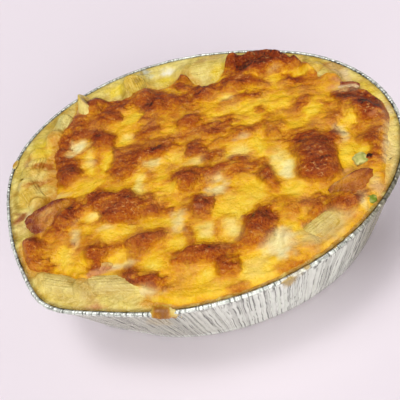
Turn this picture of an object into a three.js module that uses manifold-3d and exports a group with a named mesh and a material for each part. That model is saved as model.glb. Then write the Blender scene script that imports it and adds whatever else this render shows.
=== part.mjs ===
// Baked pasta in its own oval foil tray: a bed of pasta in sauce, browned melted cheese over most of it, and
// the tubes of pasta, slices of ham and bits of green pepper that show through.
// Millimetres. +X runs along the oval, -Y is its front, +Z is up, and the tray stands on z = 0.
import * as THREE from "three";
import { mergeVertices } from "three/addons/utils/BufferGeometryUtils.js";
import { RoundedBoxGeometry } from "three/addons/geometries/RoundedBoxGeometry.js";
import Module from "manifold-3d";

// Tray
const halfLength = 104; // of the whole oval that the rim was pressed as, before its left end was flattened
const halfWidth = 80;
const ovalCentreX = -5; // puts the middle of the finished tray on the origin
const trayHeight = 54;
const beadRadius = 1.6;
const wallLean = 12.5; // how much further in the foot of the wall stands than the rim
const footRadius = 4.5;
const neckHeight = 47.5; // where the pleats end and the band under the rolled rim begins
const foilThickness = 0.8;
const pleatCount = 80;
const pleatDepth = 0.8;

// Food
const gap = 0.35; // kept between neighbouring solids
const cheeseGap = 0.5; // under the cheese, whose faces are coarser there
const bedEdge = 51; // height of the sauce where it meets the foil
const bedRise = 2.5; // how far the middle of the bed stands above its edge
const cheeseEdge = 1.6; // thickness of the cheese at its border
const cheeseMiddle = 4.2;
const cheeseNet = 38; // cells across the cheese
const bedNet = 18;

// Pasta tube
const tubeRadius = 6.3;
const tubeRidge = 0.35;
const tubeRidges = 10;
const tubeWall = 1.4;
const tubeSlant = 35; // degrees that the cut ends lean over

const hamThickness = 2.4;
const hamNet = 5;

const bell = (offset, spread) => Math.exp(-0.5 * (offset / spread) ** 2);
const degrees = (radians) => (radians * 180) / Math.PI;
const smooth = (from, to, value) => THREE.MathUtils.smoothstep(value, from, to);

// Swells and dents round the oval, by angle in degrees: the rim isn't a true ellipse any more.
function around(list, angle) {
  let sum = 0;
  for (const { at, spread, by } of list) {
    const turn = THREE.MathUtils.euclideanModulo(degrees(angle) - at + 180, 360) - 180;
    sum += by * bell(turn, spread);
  }
  return sum;
}

const rimDents = [
  { at: 187, spread: 23, by: -0.105 }, // blunt left end
  { at: -130.5, spread: 8, by: 0.054 }, // corner pulled out at the front left
  { at: 113, spread: 15, by: 0.015 },
  { at: 66, spread: 12, by: -0.019 },
];
const footDents = [{ at: -126, spread: 9, by: -0.05 }]; // the foot is tucked in under the pulled corner

const seeded = (() => {
  let state = 20417;
  return () => {
    state = (state * 1103515245 + 12345) % 2147483648;
    return state / 2147483648;
  };
})();

// Point of the oval at a parametric angle, a given distance inside the rim.
function oval(angle, inset, extra = 0) {
  const factor = 1 + around(rimDents, angle) + extra;
  return [
    (halfLength - inset) * factor * Math.cos(angle),
    (halfWidth - inset) * factor * Math.sin(angle),
  ];
}

// How far out a point lies: 0 in the middle, 1 on the rim.
function shareOf(x, y) {
  const angle = Math.atan2(y / halfWidth, x / halfLength);
  return Math.hypot(x / halfLength, y / halfWidth) / (1 + around(rimDents, angle));
}

function geometryFrom(points, faces) {
  const geometry = new THREE.BufferGeometry();
  geometry.setAttribute("position", new THREE.Float32BufferAttribute(points.flat(), 3));
  geometry.setIndex(faces.flat());
  geometry.computeVertexNormals();
  return geometry;
}

// Joins rings of points, each one running anticlockwise from above, into a skin. The first ring is the edge of
// the upper cap and the last is closed by a fan to the foot point.
function skirt(faces, rings, foot) {
  for (let k = 0; k + 1 < rings.length; k++) {
    const upper = rings[k];
    const lower = rings[k + 1];
    upper.forEach((a, i) => {
      const b = upper[(i + 1) % upper.length];
      const c = lower[i];
      const d = lower[(i + 1) % upper.length];
      faces.push([a, c, b], [b, c, d]);
    });
  }
  const last = rings[rings.length - 1];
  last.forEach((a, i) => faces.push([last[(i + 1) % last.length], a, foot]));
}

function addRing(points, ring) {
  const start = points.length;
  points.push(...ring);
  return ring.map((_, i) => start + i);
}

// Parametric place of a cell corner when a square net is pulled into a disc.
function discPlace(i, j, cells) {
  const u = (2 * i) / cells - 1;
  const v = (2 * j) / cells - 1;
  if (u === 0 && v === 0) return { share: 0, angle: 0 };
  if (Math.abs(u) > Math.abs(v)) {
    return { share: Math.abs(u), angle: (Math.PI / 4) * (v / u) + (u < 0 ? Math.PI : 0) };
  }
  return { share: Math.abs(v), angle: Math.PI / 2 - (Math.PI / 4) * (u / v) + (v < 0 ? Math.PI : 0) };
}

// A closed mound: an even net over a disc-like outline on top, then rings down its side and under it.
function mound(cells, outline, top, ringsBelow, foot) {
  const points = [];
  const faces = [];
  const side = cells + 1;
  for (let j = 0; j <= cells; j++) {
    for (let i = 0; i <= cells; i++) {
      const { share, angle } = discPlace(i, j, cells);
      const [edgeX, edgeY] = outline(angle);
      const x = edgeX * share;
      const y = edgeY * share;
      points.push([x, y, top(x, y)]);
    }
  }
  for (let j = 0; j < cells; j++) {
    for (let i = 0; i < cells; i++) {
      const a = j * side + i;
      const b = a + 1;
      const c = a + side;
      const d = c + 1;
      const leansRight = (i < cells / 2) === (j < cells / 2);
      if (leansRight) faces.push([a, b, d], [a, d, c]);
      else faces.push([a, b, c], [b, d, c]);
    }
  }
  const edge = [];
  for (let k = 0; k < cells; k++) edge.push(k * side + cells);
  for (let k = 0; k < cells; k++) edge.push(cells * side + cells - k);
  for (let k = 0; k < cells; k++) edge.push((cells - k) * side);
  for (let k = 0; k < cells; k++) edge.push(k);
  const angles = [];
  for (let k = 0; k < cells; k++) angles.push(discPlace(cells, k, cells).angle);
  for (let k = 0; k < cells; k++) angles.push(discPlace(cells - k, cells, cells).angle);
  for (let k = 0; k < cells; k++) angles.push(discPlace(0, cells - k, cells).angle);
  for (let k = 0; k < cells; k++) angles.push(discPlace(k, 0, cells).angle);
  const rings = [edge];
  for (const ring of ringsBelow) rings.push(addRing(points, angles.map(ring)));
  points.push(foot);
  skirt(faces, rings, points.length - 1);
  return geometryFrom(points, faces);
}

// Tray: one skin of foil, from the middle of the floor up the inside, over the rolled rim and down the outside.
function trayGeometry() {
  const columns = pleatCount * 2;
  const pleats = [];
  for (let i = 0; i < columns; i++) pleats.push((i % 2 ? 1 : -1) * pleatDepth * (0.55 + 0.45 * seeded()));
  const points = [[0, 0, foilThickness]];
  const faces = [];
  const ringAt = (inset, z, pleat, footShare = 0) =>
    addRing(
      points,
      pleats.map((depth, i) => {
        const angle = (2 * Math.PI * i) / columns;
        return [...oval(angle, inset + depth * pleat, footShare * around(footDents, angle)), z];
      }),
    );
  const beadHeight = trayHeight - beadRadius;
  const rings = [
    ringAt(wallLean + footRadius, foilThickness, 0, 1),
    ringAt(wallLean + foilThickness, footRadius, 0.3, 1),
    ringAt(beadRadius + foilThickness, neckHeight, 1),
  ];
  for (const turn of [170, 130, 90, 35, -30]) {
    const lean = THREE.MathUtils.degToRad(turn);
    rings.push(ringAt(-beadRadius * Math.cos(lean), beadHeight + beadRadius * Math.sin(lean), 0));
  }
  rings.push(
    ringAt(beadRadius / 2, trayHeight - 2 * beadRadius, 0.3),
    ringAt(beadRadius, neckHeight, 1),
    ringAt(wallLean, footRadius, 0.3, 1),
    ringAt(wallLean + 1.3, 1.2, 0, 1),
    ringAt(wallLean + footRadius, 0, 0, 1),
  );
  rings[0].forEach((a, i) => faces.push([0, a, rings[0][(i + 1) % columns]]));
  points.push([0, 0, 0]);
  skirt(faces, rings, points.length - 1);
  return geometryFrom(points, faces);
}

// Food: the top of the bed, then the cheese that lies on it.
const bedTop = (x, y) => bedEdge + bedRise * (1 - shareOf(x, y) ** 2);

const cheeseReach = [
  { at: 172, spread: 18, by: -0.25 }, // pasta shows all along the left end
  { at: 140, spread: 12, by: -0.1 },
  { at: 104, spread: 13, by: -0.2 },
  { at: 77, spread: 7, by: -0.22 },
  { at: -128, spread: 12, by: -0.15 }, // and in the pulled corner
  { at: 32, spread: 9, by: -0.09 },
  { at: -14, spread: 8, by: -0.07 },
];
const cheeseOutline = (angle) => {
  const [x, y] = oval(angle, beadRadius + 0.9);
  const reach = 0.985 + around(cheeseReach, angle) + 0.012 * Math.sin(11 * angle) * bell(angle - 2.6, 1.2);
  return [x * reach, y * reach];
};

// Blisters of browned cheese: middle, length, width, turn in degrees and height over the cheese round them.
const blisters = [
  { x: -33, y: -20, length: 34, width: 20, turn: -14, height: 3.6 },
  { x: -46, y: -11, length: 14, width: 10, turn: 10, height: 1.6 },
  { x: 61, y: -20, length: 23, width: 29, turn: 8, height: 3.8 },
  { x: 87, y: 8, length: 27, width: 13, turn: -42, height: 3.2 },
  { x: 86, y: -16, length: 11, width: 20, turn: -10, height: 1.8 },
  { x: 49, y: 53, length: 26, width: 13, turn: -6, height: 4.2 },
  { x: 65, y: 53, length: 8, width: 9, turn: 40, height: 3.2 },
  { x: 5, y: 60, length: 8, width: 8, turn: 0, height: 3 },
  { x: 15, y: 43, length: 13, width: 10, turn: 20, height: 2.2 },
  { x: 31, y: 42, length: 11, width: 8, turn: 0, height: 2 },
  { x: -10, y: 41, length: 8, width: 9, turn: 0, height: 1.8 },
  { x: -40, y: 26, length: 11, width: 13, turn: 0, height: 2.6 },
  { x: -41, y: 41, length: 16, width: 13, turn: 0, height: 2.4 },
  { x: -55, y: 37, length: 9, width: 14, turn: -20, height: 2 },
  { x: -60, y: 6, length: 15, width: 10, turn: 20, height: 3 },
  { x: -61, y: -18, length: 10, width: 18, turn: 30, height: 2.4 },
  { x: -79, y: -31, length: 15, width: 12, turn: -20, height: 3.2 },
  { x: -47, y: -44, length: 14, width: 9, turn: -20, height: 2.6 },
  { x: -21, y: -43, length: 17, width: 9, turn: -8, height: 2.4 },
  { x: -24, y: -62, length: 19, width: 9, turn: -25, height: 2.2 },
  { x: 0, y: -15, length: 15, width: 12, turn: 0, height: 2.4 },
  { x: 18, y: -12, length: 19, width: 7, turn: 0, height: 2 },
  { x: 5, y: -32, length: 9, width: 11, turn: 0, height: 2 },
  { x: -15, y: 8, length: 18, width: 8, turn: 0, height: 2.2 },
  { x: 5, y: 23, length: 14, width: 11, turn: 0, height: 2.4 },
  { x: 38, y: -23, length: 10, width: 13, turn: 0, height: 2.6 },
  { x: 68, y: -47, length: 14, width: 11, turn: 20, height: 3 },
  { x: 29, y: -49, length: 12, width: 21, turn: -30, height: 3.2 },
  { x: 2, y: -56, length: 22, width: 9, turn: -6, height: 2.6 },
  { x: 14, y: -65, length: 13, width: 10, turn: 0, height: 2.4 },
  { x: 30, y: 8, length: 13, width: 8, turn: 0, height: 1.8 },
  { x: 46, y: 6, length: 13, width: 14, turn: 0, height: 1.8 },
  { x: 45, y: -42, length: 14, width: 14, turn: 0, height: 1.4 },
];

function blisterRise(x, y) {
  let highest = 0;
  for (const blister of blisters) {
    const turn = THREE.MathUtils.degToRad(blister.turn);
    const dx = x - blister.x;
    const dy = y - blister.y;
    const along = (dx * Math.cos(turn) + dy * Math.sin(turn)) / (blister.length / 2);
    const across = (dy * Math.cos(turn) - dx * Math.sin(turn)) / (blister.width / 2);
    const rise = blister.height * (1 - smooth(0.35, 1.2, Math.hypot(along, across)));
    highest = Math.max(highest, rise);
  }
  return highest;
}

const rumple = (x, y) => 0.35 * Math.sin(x / 5.3 + 1.1 * Math.sin(y / 7.1)) * Math.cos(y / 4.7 + x / 19);

function cheeseTop(x, y) {
  const angle = Math.atan2(y / halfWidth, x / halfLength);
  const [edgeX, edgeY] = cheeseOutline(angle);
  const share = Math.hypot(x, y) / Math.hypot(edgeX, edgeY);
  const inwards = 1 - smooth(0.7, 1, share);
  const thickness = cheeseEdge + (cheeseMiddle - cheeseEdge) * inwards;
  const relief = (blisterRise(x, y) + rumple(x, y)) * (1 - smooth(0.93, 1, share));
  return bedTop(x, y) + cheeseGap + thickness + relief;
}

function bedGeometry() {
  const ring = (inset, z, foot = 0) => (angle) => [...oval(angle, inset, foot * around(footDents, angle)), z];
  const clear = pleatDepth + gap;
  const outline = (angle) => oval(angle, beadRadius + 1.1);
  const below = [
    ring(beadRadius + foilThickness + clear, neckHeight),
    ring(wallLean + foilThickness + clear, footRadius + 0.4, 1),
    ring(wallLean + footRadius + clear, foilThickness + gap, 1),
  ];
  return mound(bedNet, outline, bedTop, below, [0, 0, foilThickness + gap]);
}

function cheeseGeometry() {
  const under = (share) => (angle) => {
    const [x, y] = cheeseOutline(angle);
    return [x * share, y * share, bedTop(x * share, y * share) + cheeseGap];
  };
  const below = [under(1), under(0.72), under(0.38)];
  return mound(cheeseNet, cheeseOutline, cheeseTop, below, [0, 0, bedTop(0, 0) + cheeseGap]);
}

// Tube of pasta along its own Z, ridged outside, with both ends cut on the slant.
function tubeGeometry(length, grow) {
  const outline = new THREE.Shape();
  const sides = grow ? 14 : tubeRidges * 2;
  for (let i = 0; i < sides; i++) {
    const angle = (2 * Math.PI * i) / sides;
    const cutter = (tubeRadius + tubeRidge + grow) / Math.cos(Math.PI / sides);
    const radius = grow ? cutter : tubeRadius + (i % 2 ? tubeRidge : -tubeRidge);
    outline[i ? "lineTo" : "moveTo"](radius * Math.cos(angle), radius * Math.sin(angle));
  }
  outline.closePath();
  if (!grow) {
    const bore = new THREE.Path();
    bore.absarc(0, 0, tubeRadius - tubeRidge - tubeWall, 0, 2 * Math.PI, true);
    outline.holes.push(bore);
  }
  const geometry = new THREE.ExtrudeGeometry(outline, {
    depth: length + 2 * grow,
    bevelEnabled: false,
    curveSegments: 4,
  });
  geometry.translate(0, 0, -length / 2 - grow);
  const slant = Math.tan(THREE.MathUtils.degToRad(tubeSlant));
  geometry.applyMatrix4(new THREE.Matrix4().set(1, 0, 0, 0, 0, 1, 0, 0, slant, 0, 1, 0, 0, 0, 0, 1));
  return geometry;
}

// Slice of ham lying in its own XY, curled up along one side.
function hamGeometry({ length, width, curl }, grow) {
  const bend = (x, y) => curl * (y / width + 0.5) ** 2 + 0.5 * Math.sin(x / 2.6);
  const outline = (angle) => [
    (length / 2 + grow) * Math.cos(angle),
    (width / 2 + grow) * Math.sin(angle) + 0.1 * width * Math.cos(2 * angle),
  ];
  const half = hamThickness / 2 + grow;
  const under = (share) => (angle) => {
    const [x, y] = outline(angle);
    return [x * share, y * share, bend(x * share, y * share) - half];
  };
  const top = (x, y) => bend(x, y) + half;
  return mound(hamNet, outline, top, [under(1), under(0.66), under(0.33)], [0, 0, bend(0, 0) - half]);
}

const { degToRad } = THREE.MathUtils;

// Where the visible tubes lie: the two ends of the axis, and how far the longer lip at the second end is
// turned from the top of the tube.
const tubes = [
  { from: [-72, -50.2, 49.6], to: [-54.5, -57.2, 49.6], turn: 90 },
  { from: [-50, -56.7, 49.6], to: [-22, -62.7, 49.6], turn: 90 },
  { from: [47, -58.5, 50], to: [64.5, -48, 50], turn: 90 },
  { from: [-19.5, 54, 48], to: [-23.5, 67, 53.5], turn: -30 },
  { from: [-53, 47, 51], to: [-49.5, 57.5, 62], turn: -90 },
  { from: [9, 67.4, 51], to: [30, 64.8, 51], turn: -90 },
  { from: [-68, 41, 50], to: [-64.3, 50.6, 50], turn: 0 },
  { from: [-83.5, 9, 50], to: [-77.5, -3, 50], turn: 180 },
  { from: [-82.5, 18.5, 50], to: [-79, 30, 50], turn: 150 },
  { from: [73, 43, 50.5], to: [79.5, 35, 50.5], turn: 0 },
];

const hams = [
  { at: [-68.5, -15.5, 56], length: 24, width: 16, turn: 30, tilt: 8, curl: 2.5 },
  { at: [-44.5, -50, 56.4], length: 12, width: 5, turn: -6, tilt: 8, curl: 1 },
  { at: [85.5, 25.5, 55.8], length: 13, width: 5, turn: -25, tilt: 12, curl: 1 },
  { at: [73.5, -35.3, 57.3], length: 22, width: 9.5, turn: 20, tilt: 5, curl: 1.5 },
];

const peppers = [
  { at: [79, -45, 53.5], size: [6, 5, 4], turn: 20 },
  { at: [80, -23.5, 56.8], size: [6, 7, 4], turn: 15 },
];

const foil = new THREE.MeshStandardMaterial({ color: 0xd7d4d2, metalness: 1, roughness: 0.3 });
const sauce = new THREE.MeshStandardMaterial({ color: 0xe6d68f, roughness: 0.5 });
const cheese = new THREE.MeshStandardMaterial({ color: 0xe09a2c, roughness: 0.4 });
const pasta = new THREE.MeshStandardMaterial({ color: 0xd9c26e, roughness: 0.45 });
const ham = new THREE.MeshStandardMaterial({ color: 0xbe6e5a, roughness: 0.45 });
const pepper = new THREE.MeshStandardMaterial({ color: 0x7a9a3a, roughness: 0.4 });

const bakedPasta = new THREE.Group();
bakedPasta.position.x = ovalCentreX;

function addMesh(name, geometry, material) {
  const mesh = new THREE.Mesh(geometry, material);
  mesh.name = name;
  bakedPasta.add(mesh);
  return mesh;
}

// Lays a piece in the food. Its cutter, grown by the gap, is what the food gives way to.
const cutters = [];
function layIn(name, material, makeGeometry, place) {
  const mesh = addMesh(name, makeGeometry(0), material);
  const cutter = new THREE.Mesh(makeGeometry(gap), material);
  for (const piece of [mesh, cutter]) place(piece);
  cutter.updateMatrix();
  cutters.push(cutter);
}

tubes.forEach(({ from, to, turn }, index) => {
  const start = new THREE.Vector3(...from);
  const end = new THREE.Vector3(...to);
  const axis = end.clone().sub(start);
  const length = axis.length();
  axis.normalize();
  const flank = new THREE.Vector3(0, 0, 1).cross(axis).normalize();
  const crown = axis.clone().cross(flank).applyAxisAngle(axis, degToRad(turn));
  const lie = new THREE.Matrix4().makeBasis(crown, axis.clone().cross(crown), axis);
  layIn(`penne_${index + 1}`, pasta, (grow) => tubeGeometry(length, grow), (piece) => {
    piece.position.copy(start).add(end).multiplyScalar(0.5);
    piece.quaternion.setFromRotationMatrix(lie);
  });
});

hams.forEach((slice, index) => {
  layIn(`ham_slice_${index + 1}`, ham, (grow) => hamGeometry(slice, grow), (piece) => {
    piece.position.set(...slice.at);
    piece.rotation.set(degToRad(slice.tilt), 0, degToRad(slice.turn), "ZXY");
  });
});

peppers.forEach(({ at, size, turn }, index) => {
  const block = (grow) => new RoundedBoxGeometry(...size.map((side) => side + 2 * grow), 1, 1.2);
  layIn(`green_pepper_${index + 1}`, pepper, block, (piece) => {
    piece.position.set(...at);
    piece.rotation.set(degToRad(8), degToRad(-6), degToRad(turn));
  });
});

const wasm = await Module();
wasm.setup();

function solidOf(geometry) {
  const bare = geometry.clone();
  bare.deleteAttribute("normal");
  bare.deleteAttribute("uv");
  const merged = mergeVertices(bare, 1e-4);
  return new wasm.Manifold(
    new wasm.Mesh({
      numProp: 3,
      vertProperties: merged.attributes.position.array,
      triVerts: new Uint32Array(merged.index.array),
    }),
  );
}

// The food with a hollow for each piece laid in it. Scraps that a hollow cuts off are dropped.
function hollowed(geometry) {
  let solid = solidOf(geometry);
  for (const cutter of cutters) {
    solid = solid.subtract(solidOf(cutter.geometry.clone().applyMatrix4(cutter.matrix)));
  }
  const [largest] = solid.decompose().sort((a, b) => b.volume() - a.volume());
  const mesh = largest.getMesh();
  const result = new THREE.BufferGeometry();
  result.setAttribute("position", new THREE.BufferAttribute(mesh.vertProperties, mesh.numProp));
  result.setIndex(new THREE.BufferAttribute(mesh.triVerts, 1));
  result.computeVertexNormals();
  return result;
}

addMesh("foil_tray", trayGeometry(), foil);
addMesh("pasta_bed", hollowed(bedGeometry()), sauce);
addMesh("cheese_topping", hollowed(cheeseGeometry()), cheese);

export default bakedPasta;
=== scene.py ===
# Baked pasta with ham under browned cheese, in an oval foil tray.
# Sizes are in millimetres from the middle of the oval until a piece is finished,
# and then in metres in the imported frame.
import math

import bmesh
import bpy
import numpy as np
from mathutils import Matrix, Vector


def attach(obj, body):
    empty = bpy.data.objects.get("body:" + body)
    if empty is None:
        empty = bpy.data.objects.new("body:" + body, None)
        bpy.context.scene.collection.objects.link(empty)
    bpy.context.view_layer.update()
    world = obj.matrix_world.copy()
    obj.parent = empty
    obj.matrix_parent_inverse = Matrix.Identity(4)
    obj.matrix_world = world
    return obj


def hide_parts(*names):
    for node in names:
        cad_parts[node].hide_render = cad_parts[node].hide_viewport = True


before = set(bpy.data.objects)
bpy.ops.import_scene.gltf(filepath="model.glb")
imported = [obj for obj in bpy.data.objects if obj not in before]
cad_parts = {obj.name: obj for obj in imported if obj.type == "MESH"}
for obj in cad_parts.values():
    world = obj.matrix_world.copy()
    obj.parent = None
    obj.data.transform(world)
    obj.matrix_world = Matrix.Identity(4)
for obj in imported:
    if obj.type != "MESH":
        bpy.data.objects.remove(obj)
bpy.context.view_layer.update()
ovalCentreX = -5.0  # where the oval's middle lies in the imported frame

camera = {
    "azimuth": 11.13,
    "elevation": 52.56,
    "roll": -21.6,
    "distance": 358.9,  # from the middle of the foot
    "focalPixels": 645.2,
    "frameWidth": 400,
    "centrePixel": (210.26, 226.57),
    "sensorWidth": 36,
    "nearest": 0.01,
    "seenLevel": 55,  # painted patches are placed where they are seen against this height
    "seenShift": (-0.148, 0.751),  # how far aside a point is seen for each millimetre above it
}


def cameraAxes():
    turn, rise, lean = (math.radians(camera[key]) for key in ("azimuth", "elevation", "roll"))
    back = Vector((math.sin(turn) * math.cos(rise), -math.cos(turn) * math.cos(rise), math.sin(rise)))
    level = (-back).cross(Vector((0, 0, 1))).normalized()
    tall = level.cross(-back)
    right = level * math.cos(lean) + tall * math.sin(lean)
    up = tall * math.cos(lean) - level * math.sin(lean)
    return right, up, back


def placeCamera():
    right, up, back = cameraAxes()
    width = camera["frameWidth"]
    lens = bpy.data.cameras.new("viewCamera")
    lens.sensor_width = camera["sensorWidth"]
    lens.lens = camera["focalPixels"] * camera["sensorWidth"] / width
    lens.shift_x = 0.5 - camera["centrePixel"][0] / width
    lens.shift_y = camera["centrePixel"][1] / width - 0.5
    lens.clip_start = camera["nearest"]
    place = back * camera["distance"] + Vector((ovalCentreX, 0, 0))
    eye = bpy.data.objects.new("viewCamera", lens)
    eye.matrix_world = Matrix.Translation(place / 1000) @ Matrix((right, up, back)).transposed().to_4x4()
    bpy.context.scene.collection.objects.link(eye)
    bpy.context.scene.camera = eye


def toPixels(points):
    right, up, back = (np.array(axis) for axis in cameraAxes())
    offset = points - back * camera["distance"]
    depth = -offset @ back
    column = camera["centrePixel"][0] + camera["focalPixels"] * (offset @ right) / depth
    row = camera["centrePixel"][1] - camera["focalPixels"] * (offset @ up) / depth
    return column, row


def seenPlace(x, y, z):
    above = z - camera["seenLevel"]
    return x + camera["seenShift"][0] * above, y + camera["seenShift"][1] * above


placeCamera()


def smooth(low, high, value):
    t = np.clip((value - low) / (high - low), 0, 1)
    return t * t * (3 - 2 * t)


def bell(offset, spread):
    return np.exp(-0.5 * (offset / spread) ** 2)


def turned(x, y, degrees):  # how far along and across a direction in the plan
    c, s = math.cos(math.radians(degrees)), math.sin(math.radians(degrees))
    return x * c + y * s, y * c - x * s


def ovalReach(x, y, length, width, turn):  # 1 on the edge of a turned oval
    along, across = turned(x, y, turn)
    return np.hypot(along / (length / 2), across / (width / 2))


def besideLine(x, y, start, end, low=0.0, high=1.0):  # share of the way along a line, and distance from it
    span = np.subtract(end, start)[:2]
    along = np.clip(((x - start[0]) * span[0] + (y - start[1]) * span[1]) / (span @ span), low, high)
    return along, np.hypot(x - start[0] - along * span[0], y - start[1] - along * span[1])


def lumps(x, y, size, seed):  # rolling noise, about -1 to 1, with lumps of a given size
    cells = 89
    turns = np.random.default_rng(seed).uniform(0, 2 * np.pi, (cells, cells))
    u, v = np.broadcast_arrays(np.asarray(x, float) / size, np.asarray(y, float) / size)
    i, j = np.floor(u).astype(int), np.floor(v).astype(int)
    fu, fv = u - i, v - j

    def corner(di, dj):
        turn = turns[(i + di) % cells, (j + dj) % cells]
        return np.cos(turn) * (fu - di) + np.sin(turn) * (fv - dj)

    su, sv = (f * f * f * (f * (6 * f - 15) + 10) for f in (fu, fv))
    low = corner(0, 0) + su * (corner(1, 0) - corner(0, 0))
    high = corner(0, 1) + su * (corner(1, 1) - corner(0, 1))
    return 1.6 * (low + sv * (high - low))


def deepLumps(x, y, size, seed, steps=3):
    return sum(lumps(x, y, size / 2**k, seed + k) / 1.8**k for k in range(steps))


def toLinear(screen):  # screen colours, 0 to 255, as the linear ones that shading needs
    line = np.clip(screen, 0, 255) / 255
    return np.where(line < 0.04045, line / 12.92, ((line + 0.055) / 1.055) ** 2.4)


def shade(red, green, blue):
    return (*toLinear((red, green, blue)).tolist(), 1.0)


class Sock:
    def __init__(self, finish, socket):
        self.finish = finish
        self.socket = socket

    def by(self, operation, first, second):
        return self.finish.add("ShaderNodeMath", {"operation": operation}, {0: first, 1: second})

    def __add__(self, other):
        return self.by("ADD", self, other)

    def __radd__(self, other):
        return self.by("ADD", other, self)

    def __sub__(self, other):
        return self.by("SUBTRACT", self, other)

    def __rsub__(self, other):
        return self.by("SUBTRACT", other, self)

    def __mul__(self, other):
        return self.by("MULTIPLY", self, other)

    def __rmul__(self, other):
        return self.by("MULTIPLY", other, self)


class Finish:
    def __init__(self, name, kind="materials", main="Principled BSDF", **fixed):
        self.material = getattr(bpy.data, kind).new(name)
        self.material.use_nodes = True
        self.tree = self.material.node_tree
        self.shader = self.tree.nodes[main]
        for key, value in fixed.items():
            self.feed(key, value)

    def feed(self, key, value, node=None):
        socket = (node or self.shader).inputs[key.replace("_", " ") if isinstance(key, str) else key]
        if isinstance(value, Sock):
            self.tree.links.new(value.socket, socket)
        else:
            socket.default_value = value

    def add(self, kind, settings=None, sockets=None, output=0):
        node = self.tree.nodes.new(kind)
        for key, value in (settings or {}).items():
            if key == "stops":
                ramp = node.color_ramp
                for k, (place, colour) in enumerate(value):
                    stop = ramp.elements[k] if k < 2 else ramp.elements.new(place)
                    stop.position, stop.color = place, colour
            else:
                setattr(node, key, value)
        for key, value in (sockets or {}).items():
            self.feed(key, value, node)
        return Sock(self, node.outputs[output])

    def place(self):
        return self.add("ShaderNodeTexCoord", output="Object")

    def noise(self, scale, detail=2.0, roughness=0.5, where=None):
        sockets = {"Vector": where or self.place(), "Scale": scale, "Detail": detail, "Roughness": roughness}
        return self.add("ShaderNodeTexNoise", {}, sockets)

    def lines(self, across, scale, detail=2.0):  # noise along one number
        settings = {"noise_dimensions": "1D"}
        return self.add("ShaderNodeTexNoise", settings, {"W": across, "Scale": scale, "Detail": detail})

    def painted(self, name, output="Fac"):
        return self.add("ShaderNodeAttribute", {"attribute_name": name}, output=output)

    def along(self, where, turn, stretch):  # a pattern drawn out in one direction of the plan
        sockets = {"Vector": where, "Rotation": (0, 0, math.radians(turn)), "Scale": (stretch, 1, 1)}
        return self.add("ShaderNodeMapping", {"vector_type": "TEXTURE"}, sockets)

    def mix(self, amount, low, high, way="MIX"):
        settings = {"data_type": "RGBA", "blend_type": way}
        return self.add("ShaderNodeMix", settings, {0: amount, 6: low, 7: high}, 2)

    def step(self, low, high, value, start=0.0, end=1.0):
        sockets = {"Value": value, "From Min": low, "From Max": high, "To Min": start, "To Max": end}
        return self.add("ShaderNodeMapRange", {"interpolation_type": "SMOOTHSTEP"}, sockets)

    def ramp(self, stops, amount):
        return self.add("ShaderNodeValToRGB", {"stops": stops}, {"Fac": amount})

    def bump(self, height, distance, strength=1.0):
        sockets = {"Height": height, "Distance": distance, "Strength": strength}
        return self.add("ShaderNodeBump", {}, sockets, "Normal")


def pointsOf(bm):
    return np.array([vert.co[:] for vert in bm.verts])


def finishPiece(name, bm, points, finish, painted=None, replaced=()):
    for vert, point in zip(bm.verts, (points + (ovalCentreX, 0, 0)) / 1000):
        vert.co = point
    bm.normal_update()
    bmesh.ops.recalc_face_normals(bm, faces=bm.faces)
    mesh = bpy.data.meshes.new(name)
    bm.to_mesh(mesh)
    bm.free()
    mesh.shade_smooth()
    for key, values in (painted or {}).items():
        values = np.asarray(values, dtype=np.float32)
        layer = mesh.attributes.new(key, "FLOAT" if values.ndim == 1 else "FLOAT_COLOR", "POINT")
        layer.data.foreach_set("value" if values.ndim == 1 else "color", values.ravel())
    mesh.materials.append(finish.material)
    piece = bpy.data.objects.new(name, mesh)
    bpy.context.scene.collection.objects.link(piece)
    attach(piece, "root")
    if replaced:
        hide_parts(*replaced)


def normalsOf(bm, points):
    for vert, point in zip(bm.verts, points):
        vert.co = point
    bm.normal_update()
    return np.array([vert.normal[:] for vert in bm.verts])


def growRings(bm, edges, count):
    for _ in range(count):
        grown = bmesh.ops.extrude_edge_only(bm, edges=edges)["geom"]
        verts = [part for part in grown if isinstance(part, bmesh.types.BMVert)]
        edges = [part for part in grown if isinstance(part, bmesh.types.BMEdge)]
        bmesh.ops.translate(bm, verts=verts, vec=(0, 0, 1))
    return verts, edges


# A unit tube: column is the angle, ring is the height.
def ringStack(columns, rings, poles=False, loop=False):
    bm = bmesh.new()
    circle = bmesh.ops.create_circle(bm, segments=columns, radius=1)["verts"]
    first = bm.edges[:]
    verts, last = growRings(bm, first, rings - 1)
    if loop:
        bmesh.ops.bridge_loops(bm, edges=first + last)
    if poles:
        bmesh.ops.pointmerge(bm, verts=circle, merge_co=(0, 0, 0))
        bmesh.ops.pointmerge(bm, verts=verts, merge_co=(0, 0, rings - 1))
    points = pointsOf(bm)
    return bm, np.round(points[:, 2]).astype(int), np.arctan2(points[:, 1], points[:, 0])


# An even net pulled into a disc, with rings that go on down from its edge to a pole.
def discNet(cells, rings):
    bm = bmesh.new()
    bmesh.ops.create_grid(bm, x_segments=cells, y_segments=cells, size=1)
    verts, _ = growRings(bm, [edge for edge in bm.edges if edge.is_boundary], rings)
    bmesh.ops.pointmerge(bm, verts=verts, merge_co=(0, 0, rings))
    points = pointsOf(bm)
    u, v = points[:, 0], points[:, 1]
    safeU, safeV = np.where(u == 0, 1, u), np.where(v == 0, 1, v)
    angle = np.where(
        np.abs(u) > np.abs(v),
        np.pi / 4 * v / safeU + np.where(u < 0, np.pi, 0),
        np.pi / 2 - np.pi / 4 * u / safeV + np.where(v < 0, np.pi, 0),
    )
    return bm, np.maximum(np.abs(u), np.abs(v)), angle, np.round(points[:, 2]).astype(int)


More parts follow.
